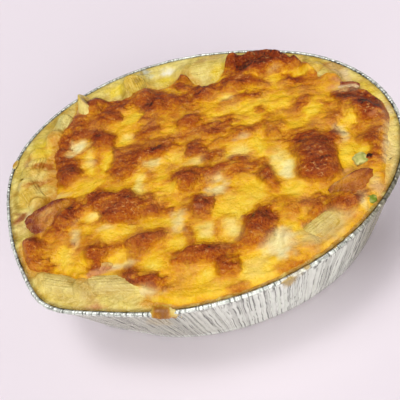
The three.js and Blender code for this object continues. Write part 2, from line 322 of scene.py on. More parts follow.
def foilFinish():
    finish = Finish("foil")
    broad = finish.noise(60, 2)
    stain = finish.painted("stain")
    # painted reflections: light and dark streaks down the flutes and thin broken dark lines
    streak = finish.lines(finish.painted("around"), 0.36, 1.5)
    narrow = finish.lines(finish.painted("around"), 1.1, 1.0)
    broken = finish.step(0.36, 0.56, finish.noise(90, 1))
    metal = finish.mix(broad, shade(252, 255, 244), shade(242, 248, 234))
    metal = finish.mix(finish.step(0.5, 0.7, streak) * 0.45, metal, shade(172, 174, 164))
    metal = finish.mix(finish.step(0.55, 0.62, narrow) * broken * 0.75, metal, shade(84, 86, 78))
    # painted shade in the folds and along the roll
    metal = finish.mix(finish.painted("paintedShade"), metal, shade(60, 60, 54))
    # painted reflection and shade, darker and warmer
    metal = finish.mix(finish.painted("paintedWarmShade"), metal, shade(164, 156, 140), "MULTIPLY")
    finish.feed("Base Color", finish.mix(stain, metal, shade(180, 150, 78)))
    finish.feed("Metallic", 0.4 - stain * 0.35)
    finish.feed("Roughness", 0.2 + broad * 0.06 + stain * 0.1)
    finish.feed("Normal", finish.bump(broad + streak * 1.2 + narrow * 0.4, 0.0009, 0.7))
    return finish


bakeTones = (  # from melted to charred
    (0.0, shade(248, 226, 104)),
    (0.14, shade(245, 207, 56)),
    (0.28, shade(239, 188, 28)),
    (0.4, shade(229, 165, 18)),
    (0.52, shade(213, 135, 10)),
    (0.64, shade(192, 102, 8)),
    (0.76, shade(168, 74, 5)),
    (0.88, shade(142, 50, 3)),
    (0.97, shade(106, 34, 6)),
    (1.0, shade(50, 18, 6)),
)


def cheeseFinish():
    finish = Finish("meltedCheese", Specular_IOR_Level=0.25)
    where = finish.place()
    streak = finish.noise(380, 4, 0.62, finish.along(where, -14, 3.0))
    blotch = finish.noise(190, 4, 0.6, where)
    grain = finish.noise(900, 3, 0.66, where)
    base = finish.painted("tone")
    rough = finish.step(0.36, 0.66, base)
    tone = base + (blotch - 0.5) * 0.3 + (streak - 0.5) * 0.4 + (grain - 0.5) * (0.12 + rough * 0.42)
    baked = finish.ramp(bakeTones, tone)
    # painted highlights: warm glints drawn into the colour along thin wrinkle lines, most on crusts
    wrinkle = finish.noise(480, 2, 0.5, finish.along(where, -22, 2.2)) - 0.5
    broken = finish.step(0.42, 0.6, finish.noise(700, 1, 0.5, where))
    glint = finish.step(0.0011, 0.0, wrinkle * wrinkle) * broken
    glint = glint * (rough * 0.2 + 0.06 + finish.painted("sheen") * rough * 0.3)
    baked = finish.mix(glint, baked, shade(236, 178, 104))
    # pale sauce, and painted highlights
    sauced = finish.mix(finish.painted("cream"), baked, shade(244, 237, 178))
    wet = finish.mix(finish.painted("olive"), sauced, shade(184, 158, 70))
    finish.feed("Base Color", finish.mix(finish.painted("pink"), wet, shade(212, 146, 100)))
    finish.feed("Roughness", 0.17 + blotch * 0.16 + rough * 0.2)
    relief = streak * (0.4 + rough * 0.3) + grain * (0.16 + rough * 0.9) + blotch * 1.3
    finish.feed("Normal", finish.bump(relief, 0.0019, 0.85))
    return finish


def sauceFinish():  # pasta and the sauce over it share their colours
    finish = Finish("saucedPasta", Specular_IOR_Level=0.35)
    where = finish.place()
    cloud = finish.noise(170, 4, 0.6, where)
    grain = finish.noise(900, 3, 0.6, where)
    ribbed = finish.painted("ribbed") * finish.step(0.35, 0.6, finish.noise(110, 2, 0.5, where))
    line = finish.lines(finish.painted("ribs"), 0.6, 1.5)
    colour = finish.painted("colour", "Color")
    colour = finish.mix(finish.step(0.48, 0.72, cloud) * 0.45, colour, shade(252, 234, 130))
    colour = finish.mix(finish.step(0.5, 0.3, cloud) * 0.38, colour, shade(182, 136, 34))
    # painted shade in the grooves between the ribs, and painted highlights on the ribs
    colour = finish.mix(finish.step(0.48, 0.7, line) * ribbed * 0.28, colour, shade(184, 144, 56))
    colour = finish.mix(finish.step(0.48, 0.3, line) * ribbed * 0.25, colour, shade(248, 230, 156))
    finish.feed("Base Color", colour)
    finish.feed("Roughness", 0.14 + cloud * 0.14)
    finish.feed("Normal", finish.bump(cloud * 1.9 + grain * 0.2 - line * ribbed * 0.35, 0.0016, 0.9))
    return finish


def hamFinish():
    finish = Finish("ham", Specular_IOR_Level=0.35)
    where = finish.place()
    cloud = finish.noise(300, 4, 0.6, where)
    fibre = finish.noise(620, 3, 0.6, finish.along(where, 55, 3.5))
    colour = finish.painted("colour", "Color")
    colour = finish.mix(finish.step(0.5, 0.7, fibre) * 0.25, colour, shade(232, 172, 90))
    colour = finish.mix(finish.step(0.5, 0.32, fibre) * 0.35, colour, shade(130, 52, 12))
    colour = finish.mix(finish.step(0.45, 0.7, cloud) * 0.35, colour, shade(214, 132, 26))
    finish.feed("Base Color", colour)
    finish.feed("Roughness", 0.12 + cloud * 0.12)
    finish.feed("Normal", finish.bump(fibre + cloud * 1.4, 0.0014, 0.9))
    return finish


def pepperFinish():
    finish = Finish("pepper", Specular_IOR_Level=0.2)
    where = finish.place()
    cloud = finish.noise(420, 3, 0.6, where)
    green = finish.mix(cloud, shade(78, 108, 14), shade(140, 152, 40))
    pale = finish.mix(finish.noise(260, 2, 0.5, where), shade(222, 206, 96), shade(230, 222, 156))
    finish.feed("Base Color", finish.mix(finish.painted("pale"), green, pale))
    finish.feed("Roughness", 0.25 + cloud * 0.15)
    finish.feed("Normal", finish.bump(cloud, 0.0008, 0.7))
    return finish


glazeTones = (
    (0.0, shade(222, 200, 122)),
    (0.35, shade(200, 166, 70)),
    (0.65, shade(182, 122, 26)),
    (1.0, shade(122, 66, 14)),
)


def glazeFinish():
    finish = Finish("bakedSauce", Specular_IOR_Level=0.45)
    cloud = finish.noise(300, 4, 0.65)
    finish.feed("Base Color", finish.ramp(glazeTones, finish.painted("tone") + (cloud - 0.5) * 0.5))
    finish.feed("Roughness", 0.2 + cloud * 0.15)
    finish.feed("Normal", finish.bump(cloud, 0.001, 0.8))
    return finish


foil = foilFinish()
cheese = cheeseFinish()
sauce = sauceFinish()
ham = hamFinish()
pepper = pepperFinish()
glaze = glazeFinish()
print("finishes made")

tray = {
    "halfLength": 104,
    "halfWidth": 80,
    "height": 54,
    "beadRadius": 1.6,
    "beadLook": 1.05,  # the rolled edge is thinner than the room that it takes
    "wallLean": 12.5,
    "footRadius": 4.5,
    "neckHeight": 47.5,
    "thickness": 0.8,
    "columns": 1440,
    "mostFlutes": 240,
    "fluteWidths": (1.9, 4.3),
    "fluteDepth": 0.95,
    "crispSide": (-42, 0.8),  # the flutes are deeper round this angle, by up to this share
    # the next four: degrees round the oval, spread, by how much
    "rimDents": ((187, 23, -0.105), (-130.5, 8, 0.054), (113, 15, 0.015), (66, 12, -0.019)),
    "footDents": ((-126, 9, -0.05),),
    "pulledCorner": ((-132, 14, 1.0),),  # few flutes here
    "knocks": ((180, 22, 0.8), (28, 16, 0.6), (-15, 25, 0.6), (-80, 40, 0.3)),
    "stains": (  # column and row in the camera's frame, length and width there, turn, strength
        (295, 275, 36, 10, 38, 0.3), (290, 281, 19, 9, 30, 0.95), (307, 267, 9, 7, 30, 0.9),
        (335, 246, 6, 5, 30, 0.9), (160, 322, 34, 8, -4, 0.35), (117, 279, 3, 3, 0, 0.8),
        (84, 273, 3, 3, 0, 0.8), (27, 270, 4, 3, 0, 0.7), (391, 155, 4, 4, 0, 0.9),
        (394, 164, 4, 4, 0, 0.8), (367, 156, 3, 3, 0, 0.7),
    ),
}


def around(dents, angle):
    total = 0
    for at, spread, by in dents:
        turn = (np.degrees(angle) - at + 180) % 360 - 180
        total = total + by * bell(turn, spread)
    return total


def ovalFactor(angle):
    return 1 + around(tray["rimDents"], angle)


def ovalAngle(x, y):
    return np.arctan2(y / tray["halfWidth"], x / tray["halfLength"])


def shareOf(x, y):  # how far out a point is, with 1 at the rim
    return np.hypot(x / tray["halfLength"], y / tray["halfWidth"]) / ovalFactor(ovalAngle(x, y))


# Each ring: inset, height, flute, share of the foot's dents. Five lie in the floor and foot, then come
# 20 of the wall, three of the neck, 17 of the rolled edge, and the inside down to the floor again.
def trayRings():
    lean, foot, thick = tray["wallLean"], tray["footRadius"], tray["thickness"]
    bead, neck, top = tray["beadRadius"], tray["neckHeight"], tray["height"]
    rings = [(90, 0, 0, 0), (lean + foot, 0, 0, 1), (lean + 2.7, 0.2, 0, 1)]
    rings += [(lean + 1.3, 1.0, 0, 1), (lean + 0.4, 2.4, 0, 1)]
    for z in np.linspace(foot, neck, 20):
        rise = (z - foot) / (neck - foot)
        flute = smooth(3, 15, z) * (1 - 0.25 * smooth(43, neck, z))
        rings.append((lean + (bead - lean) * rise, z, flute, 1 - rise))
    rings += [(1.5, 48.3, 0.4, 0), (1.3, 49.2, 0.3, 0), (1.1, 50.0, 0.2, 0)]
    roll = tray["beadLook"]
    for turn in np.radians(np.linspace(-60, 205, 17)):
        rings.append((-roll * math.cos(turn), top - 0.2 - roll + roll * math.sin(turn), 0, 0))
    rings += [(bead + thick, 49.6, 0, 0), (bead + thick + 0.4, neck, 0.4, 0)]
    rings += [(lean + thick + 0.6, foot, 0.2, 1), (lean + foot, thick, 0, 1), (90, thick, 0, 0)]
    return np.array(rings, float)


def stainsOn(points, s, z):
    column, row = toPixels(points)
    stain = np.zeros(len(points))
    for atColumn, atRow, length, width, turn, strength in tray["stains"]:
        reach = ovalReach(column - atColumn, row - atRow, length, width, -turn) + 0.3 * lumps(s, z, 3, 21)
        stain = np.maximum(stain, strength * (1 - smooth(0.6, 1.15, reach)))
    return stain


def makeTray():
    rings = trayRings()
    bm, ring, angle = ringStack(tray["columns"], len(rings), poles=True)
    inset, z, flute, foot = rings[ring].T
    random = np.random.default_rng(11)

    # distance round the wall, and the flute that each point belongs to
    sweep = np.linspace(-np.pi, np.pi, 2881)
    lineX = (tray["halfLength"] - 5) * ovalFactor(sweep) * np.cos(sweep)
    lineY = (tray["halfWidth"] - 5) * ovalFactor(sweep) * np.sin(sweep)
    length = np.concatenate(([0], np.cumsum(np.hypot(np.diff(lineX), np.diff(lineY)))))
    widths = random.uniform(*tray["fluteWidths"], tray["mostFlutes"])
    edges = np.concatenate(([0], np.cumsum(widths)))
    edges = np.concatenate((edges[edges < length[-1] - 2], [length[-1]]))
    s = np.interp(angle, sweep, length)
    smoother = around(tray["pulledCorner"], angle)
    slide = (1.5 + 5 * smoother) * lumps(s, 0, 23, 5) * (z / 25 - 1) + 0.5 * lumps(s, z, 9, 6)
    moved = s + slide * smooth(0, 25, s) * smooth(0, 25, length[-1] - s)
    moved = np.clip(moved, 0, length[-1] - 1e-6)
    index = np.searchsorted(edges, moved, side="right") - 1
    index = np.clip(index, 0, len(edges) - 2)
    width = edges[index + 1] - edges[index]
    u = (moved - edges[index]) / width

    # flutes
    deep = random.uniform(0.65, 1.15, len(edges))[index] * np.clip(width / 3.6, 0.6, 1.3)
    tilt = random.normal(0, 0.28, len(edges))[index]
    start = random.uniform(-3, 4, len(edges))[index]
    profile = 1 - np.abs(2 * u - 1) ** 2.6 - 0.62
    crispAt, crisper = tray["crispSide"]
    facing = smooth(0.7, 1, np.cos(angle - math.radians(crispAt)))
    wallFlute = flute * smooth(4 + start, 13 + start, z) * (1 - 0.55 * smoother) * (1 + crisper * facing)
    wallFlute = np.where(z > tray["neckHeight"], flute, wallFlute)
    out = wallFlute * deep * (tray["fluteDepth"] * profile + tilt * (u - 0.5))

    # dents, crinkles under the roll, and knocks in it
    onWall = (ring > 5) & (ring < 25)
    onBead = (ring >= 28) & (ring <= 44)
    out += np.where(onWall, 0.14 * lumps(s, z, 5, 8) + 0.1 * lumps(s, z * 0.5, 2.2, 9), 0)
    crinkle = smooth(43, 47.5, z) * smooth(52.2, 51, z) * (ring < 32)
    out += crinkle * (0.42 * lumps(s, z * 0.3, 2.1, 12) + 0.3 * lumps(s, z, 1.3, 13))
    bead = bell(z - 52.5, 1.8) * onBead
    knocked = 0.2 + around(tray["knocks"], angle)
    knocks = 0.34 * lumps(s + z, 0, 3.4, 15) + 0.2 * lumps(s + 1.5 * z, 0, 1.5, 16)
    out += bead * knocked * knocks * np.where(inset < 0, 1, -1)
    lift = bead * (0.24 * lumps(s, 0, 15, 18) + 0.2 * knocked * lumps(s, 0, 2.4, 19))
    reach = ovalFactor(angle) + foot * around(tray["footDents"], angle)
    reach = np.where(inset > 80, 0, reach)  # the two poles
    x = (tray["halfLength"] - inset + out) * reach * np.cos(angle)
    y = (tray["halfWidth"] - inset + out) * reach * np.sin(angle)
    points = np.column_stack((x, y, np.minimum(z + lift, tray["height"] + 0.25)))

    # painted shade: dark lines down the flute folds that fade towards the foot, painted dark reflections
    # dashed along the roll, and a painted shadow line below it
    fold = 1.3 * random.uniform(0.1, 1.0, len(edges))[index] ** 1.5
    fold = fold * smooth(2, 22 + 9 * start, z)
    # painted shade down the folds of the flutes
    paintedShade = wallFlute * smooth(0.78, 1.0, np.abs(2 * u - 1)) * fold * (0.8 + 0.6 * lumps(s, z, 5, 24))
    inner = smooth(0.2, 0.9, inset) * onBead  # painted shade where the food meets the roll
    # painted reflections: dark dashes along the roll and dark flecks in the crinkles under it
    dashes = bead * (0.2 + (0.3 + 0.5 * knocked) * smooth(0.05, 0.4, lumps(s, 0.3 * ring, 1.6, 22)))
    dashes = dashes + 0.6 * inner + 0.75 * crinkle * smooth(0.05, 0.45, lumps(s, z * 0.3, 1.7, 23))
    dashes = dashes * (0.55 + 0.45 * smooth(-0.4, 0.4, lumps(s, 0, 11, 28)))
    # painted shadow: a broken dark line just below the roll
    under = ((ring == 26) | (ring == 27)) * 0.6 * smooth(-0.5, 0.3, lumps(s, 0, 12, 27))

    # painted reflection and shade: the foil darker and warmer where it mirrors the food and the shadowed
    # floor, at the front right, along the back left of the roll and on the front left wall
    paintedWarmShade = (0.2 * smooth(30, 60, x) + 0.8 * smooth(60, 84, x)) * smooth(-5, -30, y)
    paintedWarmShade = np.maximum(paintedWarmShade, 0.4 * bead * smooth(10, -20, x) * smooth(0, 30, y))
    paintedWarmShade = np.maximum(paintedWarmShade, 0.6 * smooth(28, -30, x) * smooth(-5, -30, y) * onWall)
    painted = {
        "stain": np.where((ring < 45) & (y < 0), stainsOn(points, s, z), 0),
        "paintedShade": np.clip(paintedShade * onWall + dashes + under, 0, 1),
        "around": np.minimum(s, length[-1] - s) + 0.6 * slide + 0.3 * lumps(s, z, 9, 26),
        "paintedWarmShade": paintedWarmShade,
    }
    finishPiece("foilTray", bm, points, foil, painted, ("foil_tray",))


makeTray()
print("tray made")

tube = {
    "radius": 6.3,
    "ridge": 0.1,
    "ridges": 30,
    "wall": 1.4,
    "slant": 35,
    "columns": 156,
    "ribShift": 30,  # each tube has its own stretch of the pattern of ribs
    "places": (  # from, to, turn of the longer lip at the second end from the top
        ((-72, -50.2, 49.6), (-54.5, -57.2, 49.6), 90), ((-50, -56.7, 49.6), (-22, -62.7, 49.6), 90),
        ((47, -58.5, 50), (64.5, -48, 50), 90), ((-19.5, 54, 48), (-23.5, 67, 53.5), -30),
        ((-51.0, 50.6, 52.4), (-48.5, 56.5, 59.5), -90), ((9, 67.4, 51), (30, 64.8, 51), -90),
        ((-68, 41, 50), (-64.3, 50.6, 50), 0), ((-83.5, 9, 50), (-77.5, -3, 50), 180),
        ((-82.5, 18.5, 50), (-79, 30, 50), 150), ((73, 43, 50.5), (79.5, 35, 50.5), 0),
    ),
    "saucedTube": 5,  # sauce narrows this one's bore
    "sauceInside": 2.2,
    "thinner": {5: 0.84},
    "faintRibs": {4: 0.3, 6: 0.3},
}

bed = {
    "edge": 51.0,
    "rise": 2.5,
    "lap": 2.3,
    "inset": 1.0,
    "cells": 256,
    "overTube": 3.2,  # how far sauce climbs over a tube's axis, and the highest axis that it follows
    "highestTube": 53,
    "tubeReach": (4.5, 11),
    "mounds": (  # sauce heaped over the ends of some tubes: x, y, radius, height
        (31, 64.5, 8, 4.4), (8, 67, 6, 3.0), (-19, 53, 8, 4.0), (-69, 40, 8, 4.6), (-84, 10, 7, 4.0),
        (-82.5, 19, 7, 4.0), (-77, -4, 7, 3.6), (-79, 31, 7, 3.0), (73, 44, 8, 4.0), (80, 35, 7, 3.0),
        (46, -60, 10, 3.0), (66, -46.5, 8, 5.2), (-74, -50, 7, 3.0), (-53, -57.5, 7, 4.4),
    ),
}

topping = {
    "gap": 0.5,
    "edge": 1.6,
    "middle": 4.2,
    "cells": 292,
    "inset": 1.5,
    "filmTube": 3,  # the cheese thins to a film over this tube
    "filmShift": 1.5,
    "filmReach": (4.6, 8.5),
    "pulledFolds": -14,  # direction in which the cheese was pulled into folds
    "border": (  # its edge: degrees round the oval, and share of its way out
        (0, 0.985), (8, 0.985), (14, 0.965), (20, 0.94), (27, 0.915), (34, 0.875), (40, 0.91),
        (43.5, 0.935), (46.5, 0.965), (48.8, 0.955), (50.5, 0.945), (53, 0.98), (58, 0.985), (62, 0.96),
        (66, 0.93), (69.5, 0.9), (71, 0.78), (74, 0.7), (78, 0.69), (82, 0.73), (85, 0.785), (87.5, 0.82),
        (91, 0.785), (95, 0.75), (101, 0.8), (106, 0.785), (111, 0.78), (114.5, 0.81), (117.5, 0.86),
        (122, 0.9), (126, 0.89), (131, 0.88), (138, 0.855), (142, 0.82), (146, 0.815), (151, 0.8),
        (156, 0.775), (162, 0.75), (170, 0.735), (177, 0.735), (184, 0.75), (192, 0.79), (199, 0.86),
        (201.5, 0.94), (204, 0.985), (211, 0.99), (215, 0.99), (217, 0.95), (220, 0.915), (225, 0.85),
        (229, 0.86), (233, 0.84), (239, 0.83), (243, 0.815), (247, 0.845), (252, 0.9), (258, 0.96),
        (264, 0.996), (329, 0.996), (332, 0.98), (337, 0.965), (344, 0.952), (352, 0.957), (357, 0.975),
    ),
    "blisters": (  # x, y, length, width, turn, height
        (-33, -20, 34, 20, -14, 3.6), (-46, -11, 14, 10, 10, 1.6), (61, -20, 23, 29, 8, 3.8),
        (87, 8, 27, 13, -42, 3.2), (86, -16, 11, 20, -10, 1.8), (49, 53, 26, 13, -6, 4.2),
        (65, 53, 8, 9, 40, 3.2), (5, 60, 8, 8, 0, 3), (15, 43, 13, 10, 20, 2.2), (31, 42, 11, 8, 0, 2),
        (-10, 41, 8, 9, 0, 1.8), (-40, 26, 11, 13, 0, 2.6), (-41, 41, 16, 13, 0, 2.4),
        (-55, 37, 9, 14, -20, 2), (-60, 6, 15, 10, 20, 3), (-61, -18, 10, 18, 30, 2.4),
        (-79, -31, 15, 12, -20, 3.2), (-47, -44, 14, 9, -20, 2.6), (-21, -43, 17, 9, -8, 2.4),
        (-24, -62, 19, 9, -25, 2.2), (0, -15, 15, 12, 0, 2.4), (18, -12, 19, 7, 0, 2),
        (5, -32, 9, 11, 0, 2), (-15, 8, 18, 8, 0, 2.2), (5, 23, 14, 11, 0, 2.4), (38, -23, 10, 13, 0, 2.6),
        (68, -47, 14, 11, 20, 3), (29, -49, 12, 21, -30, 3.2), (2, -56, 22, 9, -6, 2.6),
        (14, -65, 13, 10, 0, 2.4), (30, 8, 13, 8, 0, 1.8), (46, 6, 13, 14, 0, 1.8),
        (45, -42, 14, 14, 0, 1.4), (47, 60, 27, 9, -9, 4.6), (32, 61.5, 9, 9, 0, 2.6),
        (65.5, 54, 9, 9, 20, 5.8), (57, 55.5, 18, 9, -14, 5.0),
    ),
}

# Patches on the cheese, painted over one another in this order: x, y, length, width, turn, how much.
cheesePaint = {
    "washes": (  # broad browning
        (-22, 47, 94, 26, -2, 0.78), (28, 47, 46, 11, 2, 0.66), (-61, 24, 20, 42, -8, 0.74),
        (-10, 30, 60, 14, 0, 0.56), (-30, 10, 20, 28, 0, 0.66), (-5, 19, 40, 12, 0, 0.6),
        (15, 10, 40, 14, 0, 0.54), (50, 12, 60, 20, 0, 0.46), (60, -14, 34, 34, 0, 0.56),
        (88, -10, 18, 44, -8, 0.56), (70, -40, 34, 16, 10, 0.54), (5, -58, 46, 18, -10, 0.5),
        (-25, -42, 30, 16, 0, 0.52), (-55, -38, 46, 18, 0, 0.52), (-33, -18, 44, 28, -12, 0.54),
        (-62, -18, 22, 24, 40, 0.54), (-78, -33, 20, 22, 10, 0.54), (5, -12, 36, 16, 0, 0.52),
        (65, 35, 32, 14, -20, 0.52), (29, -46, 26, 20, 50, 0.5), (50, 58, 44, 16, -8, 0.6),
        (2, -28, 16, 24, 0, 0.5), (-26, -60, 26, 14, -25, 0.52), (45, -40, 26, 14, 0, 0.5),
    ),
    "browned": (  # each browned or melted spot; a few lighter ones paint highlights on crusts
        # back left
        (-53, 44, 14, 11, -20, 0.66), (-47.5, 50, 15, 7, -38, 0.5), (-41, 60.5, 17, 6, -12, 0.9),
        (-49.6, 56, 5, 4, 0, 0.9), (-52.5, 35.5, 18, 6, -3, 0.8), (-66, 33, 6, 8, -15, 0.76),
        (-38, 45.5, 13, 12, 0, 0.73), (-64.5, 24, 10, 14, -15, 0.74), (-63, 15, 8, 7, 0, 0.84),
        (-42.4, 25, 10, 10, 0, 0.8), (-42, 31, 9, 5, -10, 0.93), (-34, 34, 10, 7, 0, 0.38),
        (-29, 25, 10, 9, 0, 0.2), (-38, 26, 4, 10, 0, 0.8), (-55, 27.5, 10.5, 9.5, 10, 0.2),
        (-52, 21, 6, 5, 0, 0.3), (-49, 16, 5, 8, 20, 0.22), (-73, 18, 8, 3.5, -40, 0.7),
        (-76, 11.5, 9, 5, -10, 0.74), (-78, 8, 11, 4, 8, 0.52), (-27, 16.5, 13, 7, 0, 0.66),
        (-32, 34.3, 16, 6, -15, 0.4),
        # back middle
        (-10, 66, 12, 6, 0, 0.3), (4, 65, 13, 12, 0, 0.92), (24.7, 57.5, 5, 10, 0, 0.25),
        (2.5, 53, 10, 5, -20, 0.36), (4, 53.3, 5, 1.6, -30, 0.75), (14.5, 56.5, 5, 3, -20, 0.82),
        (25, 48, 11, 6, 0, 0.76), (14, 46, 11, 9, 0, 0.93), (28.5, 47.5, 6, 4, 0, 0.9),
        (22.5, 42, 6, 5, 0, 0.5), (26.5, 37, 6, 4, 0, 0.18), (-13, 45, 11, 6, 60, 0.82),
        (-15, 44.5, 3, 3, 0, 0.95), (-22.5, 48.5, 5, 4, 0, 0.84), (-21, 44, 3, 3, 0, 0.8),
        (-26.5, 43, 9, 12, 0, 0.36), (-26, 40, 6, 5, 0, 0.2), (-16.3, 25.5, 11, 5, 0, 0.75),
        (-4.5, 24.5, 9, 7, 0, 0.33), (5, 25.5, 11, 8, 0, 0.92), (11, 27, 7, 4, 0, 0.84),
        (20.5, 28, 19, 12, 0, 0.32), (27, 22, 8, 2.5, -10, 0.68), (16.7, 16.6, 13, 5, -5, 0.86),
        (4.5, 16.5, 9, 7, 0, 0.62),
        # back right
        (32.2, 62.5, 10, 10, 0, 0.97), (47.5, 60.5, 44, 16, -16, 1.0), (50.5, 57.5, 22, 4, -29, 1.05),
        (66, 55, 7, 10, 10, 0.92), (58, 53.5, 20, 9.5, -16, 1.04), (46, 54.5, 32, 10, -9, 1.02),
        (65.5, 49, 11, 6, 0, 0.64), (53, 52, 6, 2.5, 0, 0.6), (53, 44, 7, 5, 0, 0.25),
        (67, 42.5, 9, 5, 0, 0.25), (85.5, 18.5, 12, 4, -10, 0.7), (88.5, 10, 27, 18, -52, 1.0),
        (94.5, 4, 10, 13, 15, 1.0), (88, 17, 13, 6, -35, 1.05), (85.3, 15.8, 5, 3, 0, 0.86),
        (74.6, 7.7, 8, 10, 0, 0.67), (71.5, 15.8, 5, 6, 0, 0.6), (56.5, 34, 5, 11, 0, 0.58),
        (58, 17.5, 5, 8, 0, 0.6), (60.3, 18.6, 3, 3, 0, 0.8), (65.5, 36.4, 15, 5, -34, 0.76),
        (63.4, 37.3, 5, 3, -30, 0.87), (74, 31, 8, 4, -30, 0.55), (74, 38.5, 8, 5, 0, 0.6),
        (30, 45, 20, 8, -5, 0.76), (41.7, 43.5, 7, 2.5, -40, 0.82), (35.5, 34.2, 10, 5, 0, 0.76),
        (39.4, 32.7, 4, 3, 0, 0.86), (0.8, 41.5, 13, 7, -10, 0.78), (25, 32.8, 11, 3, 20, 0.55),
        (40, 25.5, 21, 9, 0, 0.26), (41.4, 23.2, 4, 3, 0, 0.6), (23, 17, 4, 5, 0, 0.7),
        (36, 16.5, 5, 6, 0, 0.25), (45.3, 16.3, 6, 6, 0, 0.52), (46, 7.7, 8, 9, 0, 0.7),
        (31, 10.5, 13, 4, 8, 0.76), (37, 0, 5, 11, 0, 0.2), (66, 15.5, 6, 4, 0, 0.2), (63, 4, 7, 4, 0, 0.6),
        (64, 27, 4, 6, 0, 0.55), (62.5, 22, 4, 3, 0, 0.75), (82, 5, 5, 9, 0, 0.25), (94, 3, 5, 4, 0, 0.78),
        # front left
        (-75, 3.5, 8, 7, -30, 0.24), (-60, 12, 15, 17, 10, 0.8), (-61, 10, 11, 11, 10, 0.87),
        (-48, 14, 7, 10, 0, 0.22), (-44.5, 15, 4, 8, 0, 0.5), (-39, 14, 3.5, 10, 0, 0.18),
        (-32, 8, 9, 15, 0, 0.72), (-31, 4, 8, 5, 0, 0.8), (-54, 0, 17, 8, 0, 0.28),
        (-48, -2, 9, 10, 0, 0.2), (-49.5, -13, 6, 11, 0, 0.5), (-66.5, -31, 14, 14, 0, 0.5),
        (-61, -18, 20, 9, 48, 0.79), (-58.5, -14.5, 9, 7, 45, 0.87), (-65, -24, 9, 7, 0, 0.73),
        (-61.5, -8.9, 7, 5, 20, 0.55), (-79.5, -33, 14, 18, 12, 0.68), (-80, -27.5, 11, 6, -10, 0.86),
        (-82.5, -33.5, 3, 6, 0, 0.5), (-80.5, -38, 5, 5, 0, 0.86), (-71, -42.5, 12, 3.5, -6, 0.85),
        (-75, -41, 10, 2, 0, 0.6), (-33, -17.5, 31, 19, -15, 0.86), (-42, -10, 11, 8, 0, 0.85),
        (-40, -8, 10, 3, 0, 0.92), (-38.5, -13, 5, 4, 0, 0.74), (-40, -20.5, 5, 5, 0, 1.0),
        (-33, -25, 13, 6, -15, 0.8), (-16, -25.5, 11, 5, -15, 0.77), (-47.5, -20, 6, 4, 0, 0.2),
        (-40, -31, 22, 7, -8, 0.27), (-56, -36.5, 8, 5, -20, 0.7), (-48, -35, 13, 8, -10, 0.52),
        (-45, -43, 11, 8, 15, 0.88), (-48, -48, 6, 5, 0, 0.8), (-61.5, -40, 9, 11, 10, 0.2),
        (-54, -46, 8, 7, 0, 0.3), (-35.5, -47.5, 8, 6, 0, 0.25), (-36, -40.5, 9, 5, 0, 0.62),
        # front middle
        (-23, -6.5, 5.5, 12, 0, 0.14), (-18, -5, 3, 9, 0, 0.5), (-12.5, -8, 4, 8, 0, 0.22),
        (-35.5, -5.5, 9, 3, 0, 0.4), (-14, 8, 15, 8, 5, 0.6), (-15, 12, 15, 4, 4, 0.94),
        (-24.5, 8, 8, 6, 50, 0.82), (-6, 5.5, 8, 7, 0, 0.26), (-15, 4, 8, 4, 0, 0.3),
        (6, 5, 6, 8, -20, 0.88), (5, -1, 6, 3, 0, 0.3), (17.5, 6, 6, 2.5, 10, 0.58),
        (15, -0.5, 8, 4, 0, 0.74), (26, -1, 8, 6, 0, 0.2), (27, -6.5, 5, 3, -25, 0.82),
        (0, -8.5, 16, 5, 8, 0.82), (1.5, -14, 10, 9, 0, 0.79), (-8, -14, 5, 5, 0, 0.25),
        (15.5, -9, 10, 5, 15, 0.87), (24, -12.5, 9, 4, -10, 0.74), (18.5, -25, 4, 5, 0, 0.5),
        (20, -32, 20, 12, 0, 0.24), (5, -30, 8, 13, 0, 0.76), (6.5, -27, 5, 4, 0, 0.92),
        (-16, -33.5, 9, 4, -10, 0.22), (-21, -40, 15, 9, 8, 0.77), (-25, -41, 8, 6, 0, 0.86),
        (-35, -34, 10, 7, 0, 0.28), (-25, -60, 18, 7, -25, 0.82), (-23, -61.5, 12, 4, -25, 0.92),
        (-18, -54, 13, 8, 0, 0.2), (-28, -48.5, 5, 8, 0, 0.55), (-6.5, -45, 7, 7, 0, 0.25),
        (-1, -45, 3, 10, 0, 0.55), (6, -43.5, 6, 8, 20, 0.15), (12, -45.5, 4, 6, 0, 0.52),
        (18.5, -44.5, 6, 9, 0, 0.18), (2, -55.5, 20, 7, -10, 0.82), (6, -54.5, 13, 4, -15, 0.9),
        (-3.5, -54.5, 7, 6, 0, 0.77), (13, -65, 13, 9, -12, 0.87), (29, -47, 23, 12, 50, 0.84),
        (30, -43, 10, 9, 0, 0.93), (26, -53, 11, 7, 20, 0.78), (4, -64.5, 8, 7, 0, 0.2),
        (-5, -64, 10, 8, 0, 0.4), (0, -73, 50, 5, 0, 0.28), (18, -75, 5, 2, 0, 0.6),
        (25, -67, 10, 14, 0, 0.2),
        # front right
        (55, 2.5, 10, 3.5, -15, 0.6), (55, 7, 8, 4, 0, 0.32), (61, -15, 22, 22, 12, 0.91),
        (62, -4, 21, 8, -8, 0.9), (71, -9, 7, 8, 0, 0.88), (60, -25, 20, 12, 0, 0.96),
        (74.5, -18, 6, 13, 0, 0.22), (87, -16, 11, 20, -12, 0.75), (85, -4, 7, 5, 0, 0.58),
        (82.5, -17.5, 4, 4, 0, 0.25), (60, -35, 22, 6, 5, 0.45), (45, -40, 11, 12, 0, 0.56),
        (58, -42, 13, 4.5, -5, 0.73), (69.5, -44.5, 11, 9, 10, 0.92), (55.5, -47.5, 8, 3, 20, 0.78),
        (67, -53, 9, 6, 0, 0.5), (38, -19, 10, 9, 0, 0.88), (38.5, -26, 6, 8, 0, 0.68),
        (34, -11.5, 8, 5, 0, 0.7), (46, -16, 8, 17, 15, 0.15), (30, -68, 18, 8, 0, 0.24),
        (51, -63, 8, 6, 25, 0.52), (40, -70, 9, 4, 20, 0.6), (49, -29, 9, 10, 0, 0.26),
        (30, -28, 12, 12, 0, 0.24),
    ),
